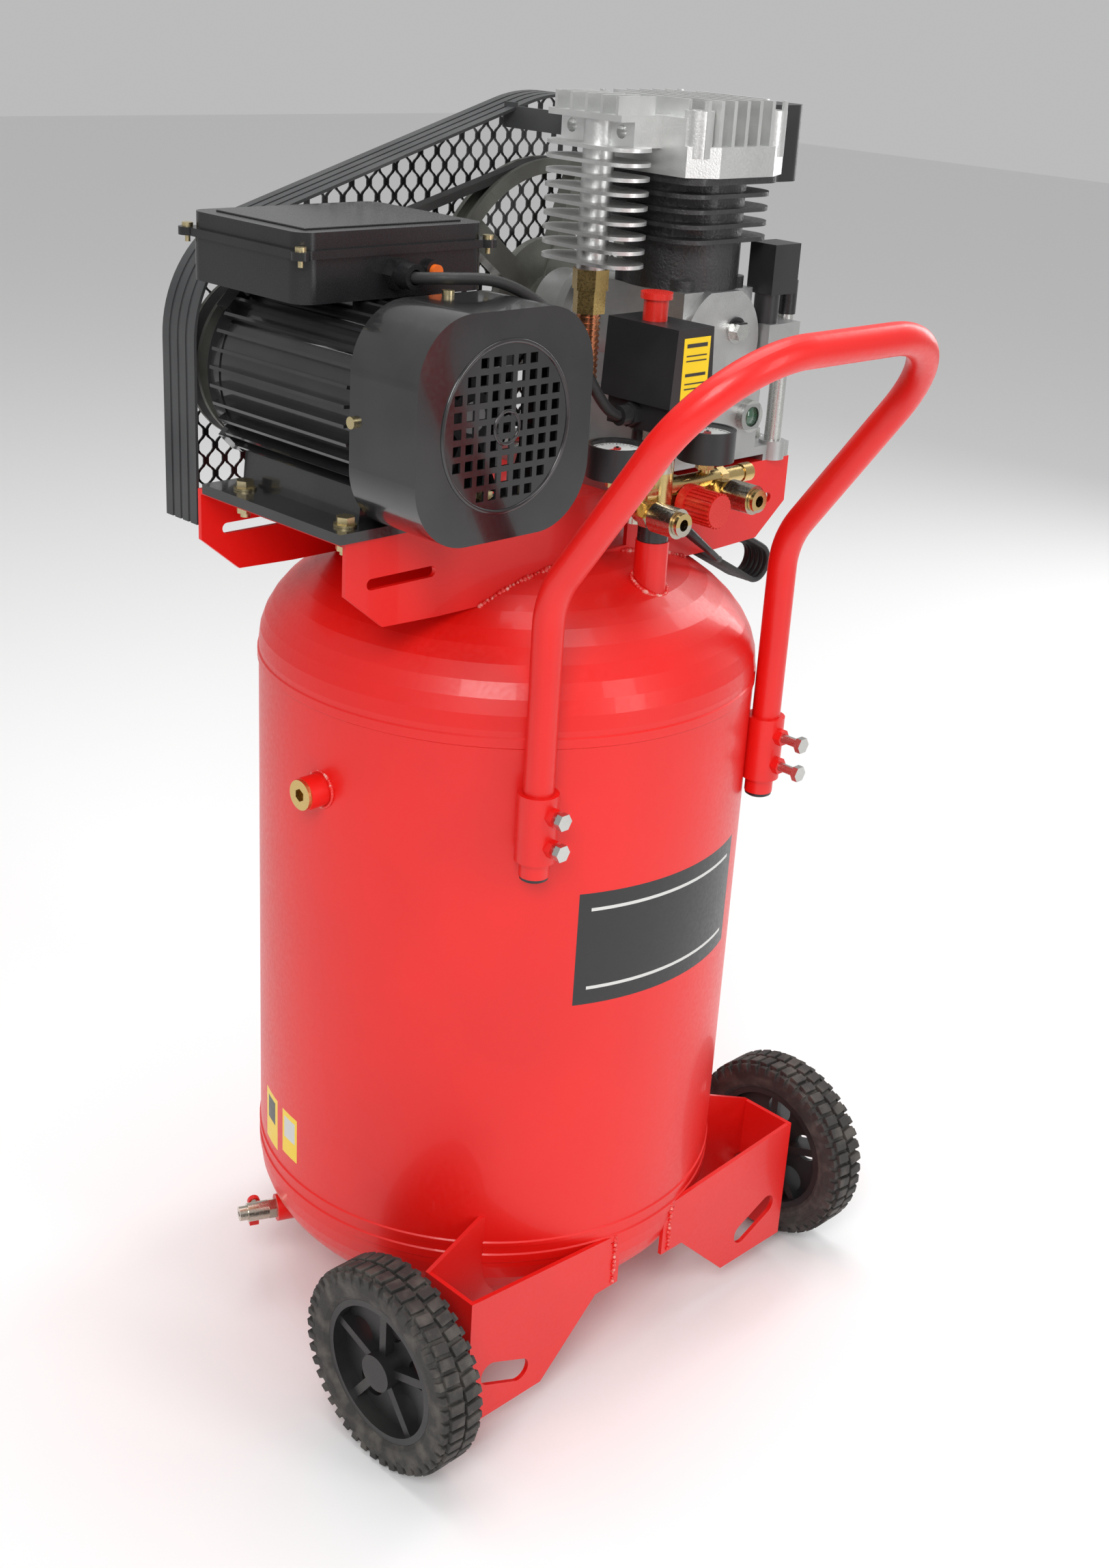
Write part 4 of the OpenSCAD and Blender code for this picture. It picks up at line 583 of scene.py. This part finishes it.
DIAL_R = 21.3
GAUGE_X = {"left": -27, "right": 82}
for side, x in GAUGE_X.items():
    radius = DIAL_R
    centre = at(x, -140, 854.2)
    shape = bmesh.new()
    add_spin(shape, centre, (0, 0, 1), [(0, -0.0002), (radius * MM, -0.0002), (radius * MM, 0.0004), (0,
        0.0004)], 48)
    make_piece("dial_" + side, shape, dial_white, "chassis")
    shape = bmesh.new()
    for i in range(31):
        a = math.radians(225 - 9 * i)
        long = 3.4 if i % 5 == 0 else 1.8
        out = Vector((math.cos(a), math.sin(a), 0))
        add_block(shape, centre + out * (radius - 2.2 - long / 2) * MM + Vector((0, 0, 0.0005)),
                  (long * MM, (0.7 if i % 5 == 0 else 0.4) * MM, 0.0003), Matrix.Rotation(a, 3, "Z"))
    make_piece("dial_marks_" + side, shape, print_black, "chassis")
    shape = bmesh.new()
    lip = [((radius + 3) * MM, -0.001), ((radius + 3) * MM, 0.0028), ((radius + 1.6) * MM, 0.0036),
           (radius * MM, 0.0022), (radius * MM, -0.001), ((radius + 3) * MM, -0.001)]
    add_spin(shape, centre + Vector((0, 0, 0.0012)), (0, 0, 1), [(min(r, 0.0239), h) for r, h in lip], 48)
    make_piece("gauge_lip_" + side, shape, black_plastic, "chassis", smooth=False)

glass, _, glass_shader = new_material("gauge glass", 0.02)
glass_shader.inputs["Base Color"].default_value = (0.97, 0.98, 0.98, 1)
glass_shader.inputs["Transmission Weight"].default_value = 1.0
glass_shader.inputs["IOR"].default_value = 1.05
for side, x in GAUGE_X.items():
    shape = bmesh.new()
    add_spin(shape, at(x, -140, 858.2), (0, 0, 1), [(0, -0.0003), (0.0212, -0.0003), (0.0212, 0.0003),
                                                    (0, 0.0005)], 48)
    make_piece("gauge_glass_" + side, shape, glass, "chassis", smooth=False)

# ------------------------------------------------------------------ labels, plugs and trim

shape = bmesh.new()
add_block(shape, at(30, -165.15, 917), (31 * MM, 0.4 * MM, 50 * MM))
make_piece("switch_label", shape, label_yellow, "chassis", bevel=0.0001)
shape = bmesh.new()
for z, tall in ((936, 3.0), (928, 1.0), (924, 1.0), (913, 2.4), (906, 1.0), (902, 1.0)):
    add_block(shape, at(30, -165.45, z), (24 * MM, 0.3 * MM, tall * MM))
make_piece("switch_label_bars", shape, print_black, "chassis")

shape = bmesh.new()
for sign in (-1, 1):
    add_spin(shape, at(sign * 141, -187, 533), (0, 0, 1), [(0, -0.004), (0.0095, -0.004), (0.0118, -0.0025),
                                                         (0.0122, 0.0005), (0.0103, 0.001),
                                                         (0.0103, 0.010), (0, 0.010)], 40)
make_piece("handle_end_plugs", shape, black_plastic, "chassis", smooth=False)

shape = bmesh.new()
add_spin(shape, at(-178, -170, 896), (0, -1, 0), ring_profile(0.062, 0.0018, 0.0014), 72)
add_spin(shape, at(-178, -170, 896), (0, -1, 0), ring_profile(0.012, 0.0014, 0.0010), 40)
make_piece("cowl_face_rings", shape, black_gloss, "chassis", smooth=True)

# Raised panel on the terminal box's lid.
shape = bmesh.new()
add_block(shape, at(-182, 19, 1020.4), (150 * MM, 108 * MM, 1.6 * MM))
make_piece("lid_panel", shape, box_plastic, "chassis", bevel=0.0008)


def weld_ring(shape, centre, axis, radius, thick, seed):
    """A hand-laid weld: overlapping beads round a joint."""
    axis = Vector(axis).normalized()
    side = axis.orthogonal().normalized()
    count = max(12, int(math.tau * radius / (thick * 1.1)))
    for i in range(count):
        wobble = math.sin(i * 12.9898 + seed) * 0.18
        place = centre + (Matrix.Rotation(math.tau * i / count, 3, axis) @ side) * radius
        bmesh.ops.create_icosphere(shape, subdivisions=1, radius=thick * (1 + wobble),
                                   matrix=Matrix.Translation(place))


weld_paint = finish("painted weld", (0.74, 0.012, 0.008), (0.82, 0.40, 0.34), (0.3, 0.5), coat=0.3,
                    patch=180, grain=900,
                    bump=0.5, depth=0.0006, patch_span=(0.5, 0.66))
shape = bmesh.new()
slope = Vector((26, -138, 264)).normalized()
weld_ring(shape, at(26, -138, 734.5), slope, 16.5 * MM, 2.6 * MM, 1)
weld_ring(shape, at(-219, -11, 567), (1, 0, 0), 15.5 * MM, 2.0 * MM, 2)
weld_ring(shape, at(45, -30, 756.5), (45, -30, 600), 16 * MM, 2.2 * MM, 3)
make_piece("fitting_welds", shape, weld_paint, "chassis", smooth=True)

# Seam where each platform flange is welded to the dome.
TANK_R, DOME_BASE, DOME_H = 220, 650, 110
shape = bmesh.new()
for y in (-91, 99):
    for i in range(78):
        x = -154 + 4 * i
        if abs(x) > 40 or y > 0:
            r2 = (x * x + y * y) / TANK_R ** 2
            z = DOME_BASE + DOME_H * math.sqrt(max(1 - r2, 0))
            if r2 < 1 and z > 729:
                bmesh.ops.create_icosphere(shape, subdivisions=1,
                                           radius=(2.4 + 0.7 * math.sin(i * 7.3)) * MM,
                                           matrix=Matrix.Translation(at(x, y, z)))
make_piece("flange_welds", shape, weld_paint, "chassis", smooth=True)

# Welds down the wheel brackets' front plates and sockets.
shape = bmesh.new()
for sign in (-1, 1):
    for i in range(12):
        bmesh.ops.create_icosphere(shape, subdivisions=1, radius=(2.3 + 0.5 * math.sin(i * 5.1)) * MM,
                                   matrix=Matrix.Translation(at(sign * 38, -217.5, 96 + 4.6 * i)))
    for flank in (-1, 1):
        for i in range(13):
            bmesh.ops.create_icosphere(shape, subdivisions=1, radius=(2.1 + 0.5 * math.sin(i * 4.7)) * MM,
                                       matrix=Matrix.Translation(at(sign * 141 + flank * 9,
                                           -187 + 14.5 + flank * sign * -4,
                                                                    550 + 4.4 * i)))
make_piece("bracket_welds", shape, weld_paint, "chassis", smooth=True)

# ------------------------------------------------------------------ sight glass

shape = bmesh.new()
add_spin(shape, at(180, -104.2, 851), (0, -1, 0), [(0, 0), (0.0085, 0), (0.0082, 0.0014), (0, 0.0022)], 40)
make_piece("sight_window", shape, sight_green, "chassis", smooth=True)

# ------------------------------------------------------------------ floor

shape = bmesh.new()
bmesh.ops.create_grid(shape, x_segments=1, y_segments=1, size=12.0)
mesh = bpy.data.meshes.new("studio_floor")
shape.to_mesh(mesh)
shape.free()
floor = bpy.data.objects.new("studio_floor", mesh)
floor.location.z = -0.0005
bpy.context.scene.collection.objects.link(floor)
floor_look, _, floor_shader = new_material("pale floor", 0.75)
floor_shader.inputs["Base Color"].default_value = (0.88, 0.88, 0.88, 1)
floor.data.materials.append(floor_look)
